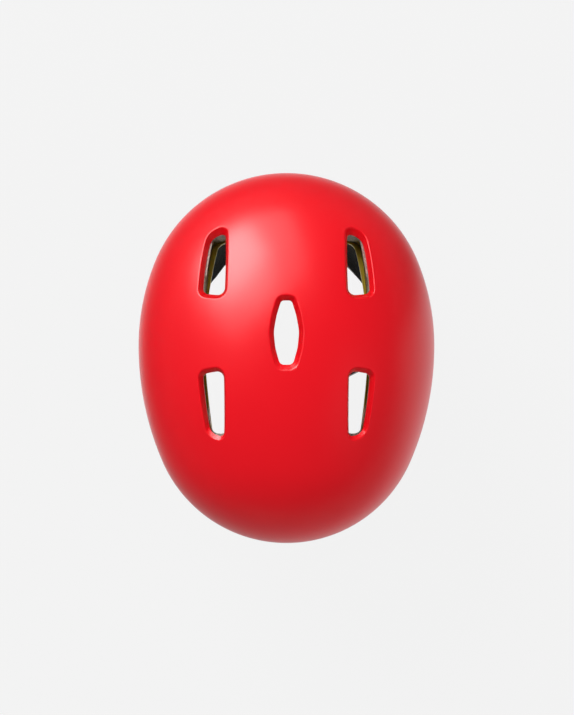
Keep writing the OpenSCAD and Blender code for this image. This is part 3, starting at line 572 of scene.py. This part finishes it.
WOVEN = even_section([(-1.0, 0.0), (-0.985, 0.55), (-0.95, 0.9), (-0.9, 1.0), (-0.84, 0.97), (-0.8, 0.9),
                      (-0.5, 0.92), (0.0, 0.94)])
MOULDED = even_section([(-1.0, 0.0), (-0.995, 0.6), (-0.96, 0.92), (-0.9, 1.0), (-0.78, 1.0), (-0.72, 0.72),
                        (-0.6, 0.72), (0.0, 0.72)])


def strap_lines(points, sides, pitch=1.6):
    """A strap's samples and how far along they lie, and its directions along, across and out of it there."""
    line, s, length = along(points, pitch)
    way = unit(np.gradient(line, axis=0))
    side = np.stack([np.interp(s, length, unit(sides)[:, i]) for i in range(3)], 1)
    side = unit(side - way * (side * way).sum(1)[:, None])
    return line, s, way, side, np.cross(way, side)


def webbing(name, points, sides, width=WEB_W, thick=WEB_T, section=WOVEN):
    """Flat strap swept along points: woven with raised selvedges, or moulded with a rib along each edge."""
    line, s, _, side, out = strap_lines(points, sides)
    half, t = width / 2, thick / 2
    section = section + [(-a, -b) for a, b in section]
    points, across, far = [], [], []
    for i in range(len(line)):
        for a, b in section:
            points.append(line[i] + side[i] * a * half + out[i] * b * t)
            across.append(a * half * MM)
            far.append(s[i] * MM)
    rings = numbered(len(line), len(section))
    obj = add_mesh(name, points, tube(rings) + [rings[0][::-1], rings[-1]])
    tidy_normals(obj, 50)
    for label, values in (("across", across), ("along", far)):
        obj.data.attributes.new(label, "FLOAT", "POINT").data.foreach_set("value", values)
    return obj


TACK_START, TACK_LONG = 9.0, 7.0
STITCH_PITCH = 0.55
STITCH_HALF = 5.2  # half a stitch's width across the strap
STITCH_LEAN = 0.35
THREAD_HALF = 0.27
THREAD_RISE = 0.22
THREAD_FOOT = 0.06


def box_tack(name, points, sides):
    """Sewn reinforcement on a strap: a row of satin stitches side by side, standing just off both faces."""
    line, s, *ways = strap_lines(points, sides, 0.8)
    pts, faces = [], []
    for k in range(int(TACK_LONG / STITCH_PITCH)):
        at = TACK_START + k * STITCH_PITCH
        c, w, d, o = (np.array([np.interp(at, s, v[:, i]) for i in range(3)]) for v in (line, *ways))
        lean = STITCH_LEAN * (1 if k % 2 else -1)
        for face in (1, -1):
            base = len(pts)
            for e in np.linspace(-1, 1, 7):
                rise = THREAD_RISE * math.sqrt(max(0.0, 1 - abs(e) ** 3))
                mid = c + d * e * STITCH_HALF + w * lean * e + o * face * (WEB_T / 2 - THREAD_FOOT)
                for a in range(6):
                    turn = a * math.pi / 3
                    up = THREAD_FOOT + rise * (0.5 + 0.5 * math.sin(turn))
                    pts.append(mid + w * THREAD_HALF * math.cos(turn) + o * face * up)
            rings = numbered(7, 6, base)
            faces += tube(rings) + [rings[0], rings[-1][::-1]]
    obj = add_mesh(name, pts, faces)
    tidy_normals(obj)
    return obj


# Pads

def node_copy(node, name):
    """A new object with its own welded copy of a CAD node's mesh."""
    source = frame["nodes"][node]
    obj = add_object(name, source.data.copy())
    obj.data.transform(source.matrix_world)
    obj.data.materials.clear()
    work = bmesh.new()
    work.from_mesh(obj.data)
    bmesh.ops.remove_doubles(work, verts=work.verts, dist=1e-6)
    work.to_mesh(obj.data)
    work.free()
    return obj


def use_modifier(obj, kind, **settings):
    mod = obj.modifiers.new(kind.lower(), kind)
    for key, value in settings.items():
        setattr(mod, key, value)


def bake_modifiers(obj):
    """Replaces the mesh by what the modifiers make of it."""
    bpy.context.view_layer.update()
    graph = bpy.context.evaluated_depsgraph_get()
    data = bpy.data.meshes.new_from_object(obj.evaluated_get(graph), preserve_all_data_layers=True,
                                           depsgraph=graph)
    old, obj.data = obj.data, data
    obj.modifiers.clear()
    bpy.data.meshes.remove(old)


def mesh_points(obj):
    co = np.empty(len(obj.data.vertices) * 3)
    obj.data.vertices.foreach_get("co", co)
    return co.reshape(-1, 3)


def set_points(obj, co):
    obj.data.vertices.foreach_set("co", co.ravel())
    obj.data.update()


def smooth_over(obj, values, rounds):
    """Values at the points, averaged with their neighbours."""
    edges = np.empty(len(obj.data.edges) * 2, np.int32)
    obj.data.edges.foreach_get("vertices", edges)
    a, b = edges[::2], edges[1::2]
    count = np.bincount(a, minlength=len(values)) + np.bincount(b, minlength=len(values))
    for _ in range(rounds):
        total = np.bincount(a, values[b], len(values)) + np.bincount(b, values[a], len(values))
        values = (values + total / np.maximum(count, 1)) / 2
    return values


def depth_of(node, co):
    """Depth of points through a pad, from -1 on the face against the liner to 1 on the face against the head,
    with the directions toward the head and half the pad's thickness."""
    if node == "cradle_pad":
        lo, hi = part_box(node)
        thick = hi.y - lo.y
        return 1 - 2 * (co[:, 1] - lo.y) / thick, np.tile([0.0, -1.0, 0.0], (len(co), 1)), thick / 2
    t = inset(co / MM)
    half = (PAD_IN - DOT_IN) / 2
    return (t - DOT_IN - half) / half, -outward(co / MM), half * MM


PADS = ("brow_pad", "crown_pad", "side_pad_left", "side_pad_right", "rear_pad_left", "rear_pad_right",
        "cradle_pad")
PAD_CELL = 1.8 * MM
EDGE_REACH = 6.5 * MM  # a pad swells to its full thickness over this distance from its edge
EDGE_FULL, MIDDLE_FULL = 0.2, 0.86
PUFF = 1.1 * MM  # the cover moves no further than this
COVER_STEPS = 20
COVER = {"quality": 5, "use_pressure": True, "uniform_pressure_force": 4, "tension_stiffness": 14,
         "compression_stiffness": 9, "bending_stiffness": 0.4}
CHANNEL_DEEP = 0.62  # a share of half the pad's thickness


def channels(place, lines, width=1.3):
    """Depth, from 0 to 1, of channels sewn along lines."""
    return np.maximum.reduce([np.exp(-((place - line) / width) ** 2) for line in lines])


def quilting(node, p):
    """Depth of a pad's sewn channels at points in millimetres."""
    x, y, z = np.abs(p[:, 0]), p[:, 1], p[:, 2]
    if node == "brow_pad":
        return channels(x, (21, 42))
    if node == "crown_pad":
        return channels(np.abs(y - VENT_MID_Y), (21,)) * (x > 14)
    if node == "cradle_pad":
        return channels(x, (12,), 1.0)
    if node.startswith("rear"):
        return channels(x, (33,))
    return channels(y, (-14, 8, 26)) * (z > -30)


def draped(pad, co):
    """A pad's points after its cover was puffed up as cloth."""
    cloth = pad.modifiers.new("cloth", "CLOTH")
    cloth.settings.effector_weights.gravity = 0
    for key, value in COVER.items():
        setattr(cloth.settings, key, value)
    scene = bpy.context.scene
    for step in range(1, COVER_STEPS + 1):
        scene.frame_set(step)
    seen = pad.evaluated_get(bpy.context.evaluated_depsgraph_get())
    moved = np.empty(len(co) * 3)
    seen.data.vertices.foreach_get("co", moved)
    shift = moved.reshape(-1, 3) - co
    far = np.linalg.norm(shift, axis=1, keepdims=True)
    shift *= np.minimum(1, PUFF / np.maximum(far, 1e-9))
    pad.modifiers.clear()
    scene.frame_set(1)
    return co + np.stack([smooth_over(pad, shift[:, i], 2) for i in range(3)], 1)


def make_pad(node):
    """Comfort pad: foam under brushed knit with a thin welded edge and sewn channels, puffed up as cloth."""
    pad = node_copy(node, node + "_cushion")
    use_modifier(pad, "REMESH", mode="VOXEL", voxel_size=PAD_CELL, use_smooth_shade=True)
    bake_modifiers(pad)
    co = mesh_points(pad)
    depth, inward, half = depth_of(node, co)
    near = np.clip(nearest(co, co[np.abs(depth) < 0.8]) / EDGE_REACH, 0, 1)
    dome = np.sqrt(np.clip(1 - (1 - near) ** 2, 0, 1))
    full = smooth_over(pad, EDGE_FULL + (MIDDLE_FULL - EDGE_FULL) * dome, 3)
    co = co + inward * ((depth * full - depth) * half)[:, None]
    set_points(pad, co)
    set_points(pad, draped(pad, co))
    use_modifier(pad, "SUBSURF", levels=1, render_levels=1)
    bake_modifiers(pad)
    co = mesh_points(pad)
    depth, inward, half = depth_of(node, co)
    groove = quilting(node, co / MM) * np.clip((depth - 0.1) / 0.4, 0, 1)
    set_points(pad, co - inward * (groove * half * CHANNEL_DEEP)[:, None])
    shade_smooth(pad.data)
    pad.data.attributes.new("seam", "FLOAT", "POINT").data.foreach_set("value", groove)
    return pad


# Shader maths and finishes

class Wire:
    """A socket of a finish; sums and products of wires add the nodes that work them out."""

    def __init__(self, finish, socket):
        self.finish, self.socket = finish, socket

    def maths(self, operation, *values):
        return self.finish.add("ShaderNodeMath", {"operation": operation}, dict(enumerate(values)))

    def __add__(self, other):
        return self.maths("ADD", self, other)

    def __radd__(self, other):
        return self.maths("ADD", other, self)

    def __sub__(self, other):
        return self.maths("SUBTRACT", self, other)

    def __rsub__(self, other):
        return self.maths("SUBTRACT", other, self)

    def __mul__(self, other):
        return self.maths("MULTIPLY", self, other)

    def __rmul__(self, other):
        return self.maths("MULTIPLY", other, self)

    def __pow__(self, other):
        return self.maths("POWER", self, other)

    def __abs__(self):
        return self.maths("ABSOLUTE", self)

    def __gt__(self, other):
        return self.maths("GREATER_THAN", self, other)

    def sine(self):
        return self.maths("SINE", self)

    def fraction(self):
        return self.maths("FRACT", self)

    def clipped(self):
        return self.maths("MINIMUM", self.maths("MAXIMUM", self, 0.0), 1.0)

    def eased(self, start, end, low, high):
        """Low up to start, high from end on, and even steps between."""
        return self.finish.add("ShaderNodeMapRange", {}, {"Value": self, 1: start, 2: end, 3: low, 4: high})


class Nodes:
    """A tree of shader nodes."""

    def __init__(self, tree):
        self.tree = tree

    def put(self, node, values):
        """Links wires to a node's inputs, and sets plain values there."""
        for key, value in values.items():
            socket = self.find(node, key)
            if isinstance(value, Wire):
                self.tree.links.new(value.socket, socket)
            elif socket.type == "RGBA":
                socket.default_value = (*value, 1)
            else:
                socket.default_value = value

    @staticmethod
    def find(node, key):
        """An input by its place, its identifier or its name."""
        found = [socket for socket in node.inputs if socket.identifier == key]
        return found[0] if found else node.inputs[key]

    def add(self, kind, settings=None, values=None, out=0):
        """A new node of a type, with its settings and what its inputs take; gives one of its outputs."""
        node = self.tree.nodes.new(kind)
        for key, value in (settings or {}).items():
            setattr(node, key, value)
        self.put(node, values or {})
        if isinstance(out, str):
            return Wire(self, next(o for o in node.outputs if out in (o.identifier, o.name)))
        return Wire(self, node.outputs[out])

    def place(self, scale=(1, 1, 1)):
        """Where a point lies on the piece, in metres times scale."""
        spot = self.add("ShaderNodeTexCoord", out="Object")
        return self.add("ShaderNodeVectorMath", {"operation": "MULTIPLY"}, {0: spot, 1: scale})

    def noise(self, scale, detail=3.0, rough=0.55, place=None):
        return self.add("ShaderNodeTexNoise", {}, {"Vector": place or self.place(), "Scale": scale,
                                                   "Detail": detail, "Roughness": rough})

    def cells(self, scale, feature="F1", out=0):
        return self.add("ShaderNodeTexVoronoi", {"feature": feature},
                        {"Vector": self.place(), "Scale": scale}, out)

    def attribute(self, name):
        return self.add("ShaderNodeAttribute", {"attribute_name": name}, out="Fac")

    def blend(self, factor, a, b):
        """Colour between a and b."""
        return self.add("ShaderNodeMix", {"data_type": "RGBA"},
                        {"Factor_Float": factor, "A_Color": a, "B_Color": b}, "Result_Color")

    def ray(self, kind):
        """1 for rays of a kind and 0 for others."""
        return self.add("ShaderNodeLightPath", out=f"Is {kind} Ray")

    def level(self, factor, a, b):
        """Brightness between a and b."""
        return self.add("ShaderNodeMix", {}, {"Factor_Float": factor, "A_Float": a, "B_Float": b},
                        "Result_Float")

    def bumps(self, height, strength, distance):
        """Normal for a height map, with the distance in metres that a height of 1 stands for."""
        return self.add("ShaderNodeBump", {}, {"Height": height, "Strength": strength, "Distance": distance})


class Finish(Nodes):
    """A material made of nodes, ending in one Principled surface."""

    def __init__(self, name):
        self.material = bpy.data.materials.new(name)
        self.material.use_nodes = True
        super().__init__(self.material.node_tree)
        self.tree.nodes.clear()
        self.surface = self.tree.nodes.new("ShaderNodeBsdfPrincipled")
        end = self.tree.nodes.new("ShaderNodeOutputMaterial")
        self.tree.links.new(self.surface.outputs[0], end.inputs["Surface"])

    def done(self, colour, rough, normal, more=None):
        """Fills in the surface and gives the material."""
        values = {"Base Color": colour, "Roughness": rough, "Normal": normal}
        self.put(self.surface, {**values, **(more or {})})
        return self.material


def shade(colour, by):
    return tuple(c * by for c in colour)


SHELL_RED = (0.86, 0.0, 0.008)


def shell_finish():
    """Satin paint: fine orange peel under a smooth colour that shifts very slightly."""
    f = Finish("satin_red_paint")
    drift = f.noise(14, 2.0)
    peel = f.noise(900, 2.0, 0.5)
    grain = f.noise(3200, 1.0, 0.5)
    rough = 0.29 + drift * 0.03 + grain * 0.03
    colour = f.blend(drift, shade(SHELL_RED, 0.97), shade(SHELL_RED, 1.03))
    normal = f.bumps(peel + grain * 0.4, 0.10, 0.0001)
    return f.done(colour, rough, normal, {"Specular IOR Level": 0.42})


def moulded_finish(name, colour, rough=0.5, grain=1400.0, depth=0.35, wear=0.12):
    """Moulded plastic: fine spark-eroded grain, drifting tone and a little handling shine."""
    f = Finish(name)
    fine = f.cells(grain)
    drift = f.noise(60, 3.0)
    scuff = (f.noise(220, 4.0, 0.7) - 0.55).clipped() * 2
    base = f.blend(drift, shade(colour, 0.82), shade(colour, 1.2))
    base = f.blend((scuff * wear).clipped(), base, tuple(min(1, c + 0.12) for c in colour))
    return f.done(base, rough + drift * 0.12 - scuff * 0.1, f.bumps(fine, depth, 0.00012))


def trim_finish():
    """Soft matte edge trim with a faint lengthwise drawn grain."""
    f = Finish("soft_edge_trim")
    drawn = f.noise(260, 3.0, 0.6, f.place((1, 1, 9)))
    dust = f.noise(120, 4.0, 0.7)
    base = f.blend(dust, (0.018, 0.018, 0.020), (0.040, 0.039, 0.041))
    return f.done(base, 0.62 + drawn * 0.2, f.bumps(drawn, 0.3, 0.0002))


def foam_finish():
    """Expanded bead foam: tight beads with dark joints, each with its own tone; its lower part is painted
    dark as shade.
    """
    f = Finish("bead_foam")
    joint = f.cells(330, "DISTANCE_TO_EDGE")
    tone = f.cells(330, out="Color")
    value = f.add("ShaderNodeSeparateColor", {}, {"Color": tone}, "Red")
    edge = (joint * 7).clipped()
    bead = f.blend(value, (0.46, 0.42, 0.37), (0.58, 0.53, 0.47))
    base = f.blend(edge, (0.30, 0.27, 0.23), bead)
    # Painted shade: from about 4 mm height down, the foam turns very dark in place of the deep shade on its
    # inner wall.
    height = f.add("ShaderNodeSeparateXYZ", {}, {"Vector": f.place()}, "Z") * 1000
    painted_shade = f.blend(value, (0.004, 0.004, 0.004), (0.010, 0.010, 0.010))
    base = f.blend((height * 0.8 - 3.0).clipped(), painted_shade, base)
    micro = f.noise(2600, 2.0)
    return f.done(base, 0.66 - edge * 0.12, f.bumps(edge ** 0.5 + micro * 0.08, 0.6, 0.00035),
                  {"Specular IOR Level": 0.2})


def liner_finish():
    """Thin slippery yellow sheet with faint forming lines."""
    f = Finish("yellow_slip_sheet")
    flow = f.noise(55, 3.0, 0.6, f.place((1, 0.35, 1)))
    fine = f.noise(900, 2.0)
    base = f.blend(flow, (0.80, 0.60, 0.05), (0.90, 0.72, 0.10))
    return f.done(base, 0.32 + flow * 0.14, f.bumps(fine + flow, 0.12, 0.0002))


def hook_finish():
    """Hook tape: rows of tiny hooks on a woven ground."""
    f = Finish("hook_tape")
    dots = f.cells(1500)
    rows = f.noise(700, 1.0) * 0.5
    base = f.blend((1 - dots * 1.6).clipped(), (0.012, 0.012, 0.013), (0.055, 0.055, 0.058))
    return f.done(base, 0.7 + rows * 0.2, f.bumps(1 - dots, 0.8, 0.0006))


def webbing_finish():
    """Tight flat weave: slanted picks that meet in narrow ribs along the strap, with slicker selvedges."""
    f = Finish("flat_woven_webbing")
    across, far = f.attribute("across"), f.attribute("along")
    rib = (across * 520).fraction() - 0.5
    ribs = abs(rib) * 2
    pick = (far * 5200 + ribs * 2.6).sine() * 0.5 + 0.5
    height = pick * (1 - ribs ** 4)
    edge = abs(across) > 0.0062
    fuzz = f.noise(1800, 2.0)
    wear = f.noise(90, 3.0)
    base = f.blend(height, (0.010, 0.010, 0.011), (0.040, 0.040, 0.043))
    base = f.blend((wear * fuzz * 0.5).clipped(), base, (0.07, 0.07, 0.072))
    return f.done(base, 0.78 - edge * 0.12 - pick * 0.1, f.bumps(height + fuzz * 0.3, 0.7, 0.00028),
                  {"Sheen Weight": 0.25, "Sheen Roughness": 0.4})


def pad_finish():
    """Brushed knit: soft nap over fine loops, pressed smoother and darker in the welded seams."""
    f = Finish("brushed_knit")
    seam = f.attribute("seam")
    nap = f.noise(700, 4.0, 0.7)
    loops = f.cells(1700)
    drift = f.noise(40, 3.0)
    base = f.blend(nap, (0.008, 0.008, 0.009), (0.026, 0.026, 0.028))
    base = f.blend(seam, base, (0.006, 0.006, 0.0065))
    base = f.blend((drift * 0.2).clipped(), base, (0.035, 0.035, 0.036))
    normal = f.bumps(nap * 0.6 + loops * 0.5 * (1 - seam), 0.55, 0.0004)
    return f.done(base, 0.88 - seam * 0.2, normal,
                  {"Specular IOR Level": 0.08, "Sheen Weight": 0.04, "Sheen Roughness": 0.45})


def plain_finish(name, noise, dark, light, rough, bumps, stretch=(1, 1, 1), more=None):
    """A material whose tone, roughness and relief follow one noise."""
    f = Finish(name)
    drift = f.noise(*noise, f.place(stretch))
    return f.done(f.blend(drift, dark, light), rough[0] + drift * rough[1], f.bumps(drift, *bumps), more)


def band_finish():
    """Flexible band with fine lengthwise flow marks."""
    f = Finish("flexible_band")
    flow = f.noise(420, 3.0, 0.6, f.place((0.3, 0.3, 2.4)))
    grain = f.cells(1900)
    base = f.blend(flow, (0.022, 0.022, 0.025), (0.050, 0.050, 0.055))
    return f.done(base, 0.42 + flow * 0.2, f.bumps(flow + grain * 0.5, 0.3, 0.00015))


# A finish for each slot, and one for thread.
LOOKS = {
    "shell": shell_finish(), "trim": trim_finish(), "foam": foam_finish(), "liner": liner_finish(),
    "elastomer": plain_finish("elastomer_pin", (300, 3.0, 0.55), (0.46, 0.40, 0.16), (0.62, 0.55, 0.26),
                              (0.3, 0.15), (0.2, 0.0002)),
    "hook": hook_finish(), "webbing": webbing_finish(),
    "thread": plain_finish("bonded_thread", (2600, 1.0, 0.55), (0.02, 0.02, 0.022), (0.09, 0.09, 0.095),
                           (0.5, 0.2), (0.6, 0.0002)),
    "pad": pad_finish(),
    "steel": plain_finish("brushed_steel", (700, 3.0, 0.6), (0.50, 0.50, 0.51), (0.70, 0.70, 0.69),
                          (0.24, 0.16), (0.15, 0.0001), (1, 12, 1), {"Metallic": 1.0}),
    "cap": plain_finish("glossy_red_cap", (160, 2.0, 0.55), shade(SHELL_RED, 0.9), SHELL_RED,
                        (0.2, 0.08), (0.06, 0.0002)),
    "band": band_finish(),
    "anchor": moulded_finish("black_anchor_plastic", (0.022, 0.022, 0.024), 0.48),
    "buckle": moulded_finish("buckle_plastic", (0.018, 0.018, 0.020), 0.34, 1900.0, 0.22, 0.2),
    "housing": moulded_finish("dial_housing_plastic", (0.026, 0.026, 0.030), 0.46, 1500.0, 0.4, 0.2),
    "pinion": moulded_finish("natural_gear_plastic", (0.70, 0.70, 0.67), 0.4, 1600.0, 0.12, 0.0),
}


# Putting it together

def paint(obj, slot, look=None):
    obj.data.materials.clear()
    obj.data.materials.append(LOOKS[look or slot])
    return obj


def paint_nodes():
    """Every CAD node takes the detailed finish of its slot, and small mouldings get eased edges."""
    slots = {row["node"]: row["material_slot"] for row in frame["record"]["subparts"]}
    soften = {"buckle_socket": 0.45, "buckle_plug": 0.45, "dial_housing": 0.35, "housing_cover": 0.3,
              "strap_keeper": 0.35, "dial_knob": 0.25, "plug_prong_outer": 0.25, "plug_prong_inner": 0.25,
              "cradle_anchor": 0.4}
    for kind, width in (("strap_divider_", 0.6), ("strap_anchor_front_", 0.5), ("strap_anchor_rear_", 0.5),
                        ("fit_rack_", 0.12), ("temple_anchor_", 0.4)):
        soften.update({kind + hand: width for hand in ("left", "right")})
    for node, obj in frame["nodes"].items():
        for row in obj.material_slots:
            row.material = LOOKS[slots[node]]
        if node in soften:
            use_modifier(obj, "WELD", merge_threshold=2e-6)
            use_modifier(obj, "BEVEL", width=soften[node] * MM, segments=2, limit_method="ANGLE",
                         angle_limit=math.radians(38), harden_normals=False)
            use_modifier(obj, "WEIGHTED_NORMAL", keep_sharp=False, weight=60)


def build_webbing():
    front = upper_route(*FRONT_ANCHOR, (-7, 9), 1)
    rear = upper_route(*REAR_ANCHOR, (7, 7), -1)
    y_way = [0, 1, 0]
    chin_sides = [y_way, y_way, [0, 1, -0.2], BUCKLE_ACROSS]
    loop_sides = [BUCKLE_ACROSS] + [y_way] * 9
    made = []
    for side, hand in ((1, "left"), (-1, "right")):
        mirror = np.array([side, 1, 1])
        for name, (points, sides) in (("front_strap_", front), ("rear_strap_", rear)):
            pts, dirs = np.array(points) * mirror, np.array(sides) * mirror
            made.append((webbing(name + hand + "_web", pts, dirs), name + hand))
            made.append((box_tack(name + hand + "_tack", pts, dirs), None))
    made.append((webbing("chin_strap_left_web", UPPER_CHIN, chin_sides), "chin_strap_left"))
    for obj, node in made:
        paint(obj, "webbing", "webbing" if node else "thread")
        if node:
            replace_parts(obj, node)
        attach(obj, "helmet")
    loop = paint(webbing("chin_strap_right_web", CHIN_LOOP, loop_sides), "webbing")
    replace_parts(loop, "chin_strap_right")
    tail = paint(webbing("strap_tail_web", tail_route(), [y_way] * 6), "webbing")
    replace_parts(tail, "strap_tail")
    for obj in (loop, tail):
        tuple(PLUG_END * MM)
        tuple(flip(LOW) * MM)
        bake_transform(obj)


FIT_Z = -27.5
ARM_W, ARM_T = 11, 1.6
ARM_IN = FOAM_IN + 3.7  # how deep the arms lie along the side walls


def arm_route(lift):
    """Centres and width directions of the fit arm on +X; its rack end can sit further back."""
    x = across_x(-20, -28.5, FOAM_IN + 3.0 + ARM_T)

    def wall(y, z):
        return [across_x(y, z, ARM_IN), y, z]
    points = [[40.1, 64.3 + lift, -78], [44.1, 64.3 + lift, -78], [53.5, 56.9 + lift / 2, -73],
              [60.5, 48.4, -66], [66.5, 37.9, -57], [x - 4.5, 26, -47], [x - 1.5, 12, -38.5], [x, -4, -32],
              wall(-20, -28.5), wall(-34, FIT_Z), wall(-46.5, FIT_Z), wall(-53.5, FIT_Z)]
    sides = [[0, 0, 1]] * 3 + [[0, 0.1, 1], [0, 0.3, 1], [0.02, 0.3, 1], [0.08, 0.2, 1], [0.18, 0.1, 1],
                               [0.33, 0, 1]] + [[0.36, 0, 1]] * 3
    return np.array(points), np.array(sides)


def build_bands():
    """Fit arms and the cradle's hanger: thin moulded bands."""
    for side, hand, lift in ((1, "left", 0), (-1, "right", 2.2)):
        points, sides = (v * [side, 1, 1] for v in arm_route(lift))
        arm = webbing("fit_arm_" + hand + "_flex", points, sides, ARM_W, ARM_T, MOULDED)
        paint(arm, "band")
        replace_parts(arm, "fit_arm_" + hand)
        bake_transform(arm)
    hanger = node_copy("cradle_hanger", "cradle_hanger_flex")
    use_modifier(hanger, "SUBSURF", levels=2, render_levels=2, subdivision_type="SIMPLE")
    bake_modifiers(hanger)
    hanger.data.set_sharp_from_angle(angle=math.radians(40))
    paint(hanger, "band")
    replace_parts(hanger, "cradle_hanger")
    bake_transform(hanger)


def build_pads():
    for node in PADS:
        pad = make_pad(node)
        paint(pad, "pad")
        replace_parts(pad, node)
        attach(pad, "cradle" if node == "cradle_pad" else "slip")


def floor_finish():
    """One tone to the camera, with the object's shadow, and in the shell's reflections a bright ring and a
    broad bright side."""
    material = bpy.data.materials.new("pale_floor")
    material.use_nodes = True
    f = Nodes(material.node_tree)
    f.tree.nodes.clear()
    x, y = (f.add("ShaderNodeSeparateXYZ", {}, {0: f.place()}, side) for side in "XY")
    away = f.add("ShaderNodeVectorMath", {"operation": "LENGTH"}, {0: f.place((1, 1, 0))}, "Value")
    broad = (x - y * 0.4).eased(-0.35, 0.2, 0, 0.85) * y.eased(0.05, 0.15, 1, 0.1)
    broad = broad * y.eased(-0.45, -0.12, 0.4, 1) * away.eased(0.25, 0.9, 1, 0.65)
    ring = away.eased(0.12, 0.38, 1.3, 0) ** 2
    camera, glossy, through = (f.ray(kind) for kind in ("Camera", "Glossy", "Transmission"))
    tone = f.level(glossy, FLOOR_GLOW, broad.maths("MAXIMUM", broad, ring))
    glow = f.add("ShaderNodeEmission", {}, {"Color": tone})
    dim, plain = (f.add("ShaderNodeBsdfDiffuse", {}, {"Color": (share,) * 3})
                  for share in (FLOOR_SHADE, FLOOR_PLAIN))
    seen = f.add("ShaderNodeAddShader", {}, {0: glow, 1: dim})
    look = f.add("ShaderNodeMixShader", {}, {0: (camera + glossy + through).clipped(), 1: plain, 2: seen})
    f.put(f.tree.nodes.new("ShaderNodeOutputMaterial"), {"Surface": look})
    return material


def build_floor():
    """Pale seamless floor."""
    corners = [(x * FLOOR_HALF, y * FLOOR_HALF, FLOOR_Z) for x, y in ((-1, -1), (1, -1), (1, 1), (-1, 1))]
    floor = add_mesh("floor", corners, [(0, 1, 2, 3)], False)
    floor.data.materials.append(floor_finish())


def add_lamp(name, place, size, power):
    """A soft rectangular lamp, turned toward the helmet."""
    data = bpy.data.lights.new(name, "AREA")
    data.shape = "RECTANGLE"
    data.size, data.size_y = size
    data.energy = power
    lamp = add_object(name, data)
    lamp.location = place
    lamp.rotation_euler = (LAMP_AIM - Vector(place)).to_track_quat("-Z", "Y").to_euler()
    return lamp


def build_light():
    """A dim even sky that looks pale, key and fill lamps, and sheens that only reflections see."""
    world = bpy.data.worlds.new("soft_studio")
    world.use_nodes = True
    w = Nodes(world.node_tree)
    sky = SKY
    for kind, strength in SKY_SEEN:
        sky = w.level(w.ray(kind), sky, strength)
    w.put(w.tree.nodes["Background"], {"Color": sky})
    bpy.context.scene.world = world
    add_lamp("key", (-0.8, 1.15, 1.7), (1.0, 1.0), 38).visible_glossy = False
    add_lamp("key_sheen", (-1.25, 1.45, 0.88), (1.4, 1.4), 55).visible_diffuse = False
    add_lamp("wide_sheen", (-0.9, 1.5, 1.15), (3.0, 2.6), 88).visible_diffuse = False
    add_lamp("right_fill", (1.6, -0.7, 1.2), (1.2, 1.2), 6).visible_glossy = False


def build_camera():
    """Straight above the helmet, framed as in the photograph."""
    data = bpy.data.cameras.new("overhead")
    data.sensor_width = 36
    data.lens = data.sensor_width * EYE[2] / (PHOTO_HIGH * PHOTO_SCALE)
    data.clip_end = 50
    camera = add_object("overhead", data)
    camera.location = EYE
    bpy.context.scene.camera = camera


def main():
    scene = bpy.context.scene
    scene.view_settings.view_transform = "Standard"
    build_camera()
    paint_nodes()
    shell = paint(make_shell(), "shell")
    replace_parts(shell, "outer_shell")
    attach(shell, "helmet")
    foam = widened("foam_liner", "foam_moulding", 0.8, FOAM_REAR, FOAM_FRONT, -0.4)
    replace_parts(paint(foam, "foam"), "foam_liner")
    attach(foam, "helmet")
    sheet = widened("slip_liner", "slip_sheet", 0.2, SHEET_REAR, SHEET_FRONT, -2)
    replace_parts(paint(sheet, "liner"), "slip_liner")
    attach(sheet, "slip")
    trim = paint(make_trim(), "trim")
    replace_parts(trim, "edge_trim")
    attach(trim, "helmet")
    build_webbing()
    build_bands()
    build_pads()
    build_floor()
    build_light()


main()
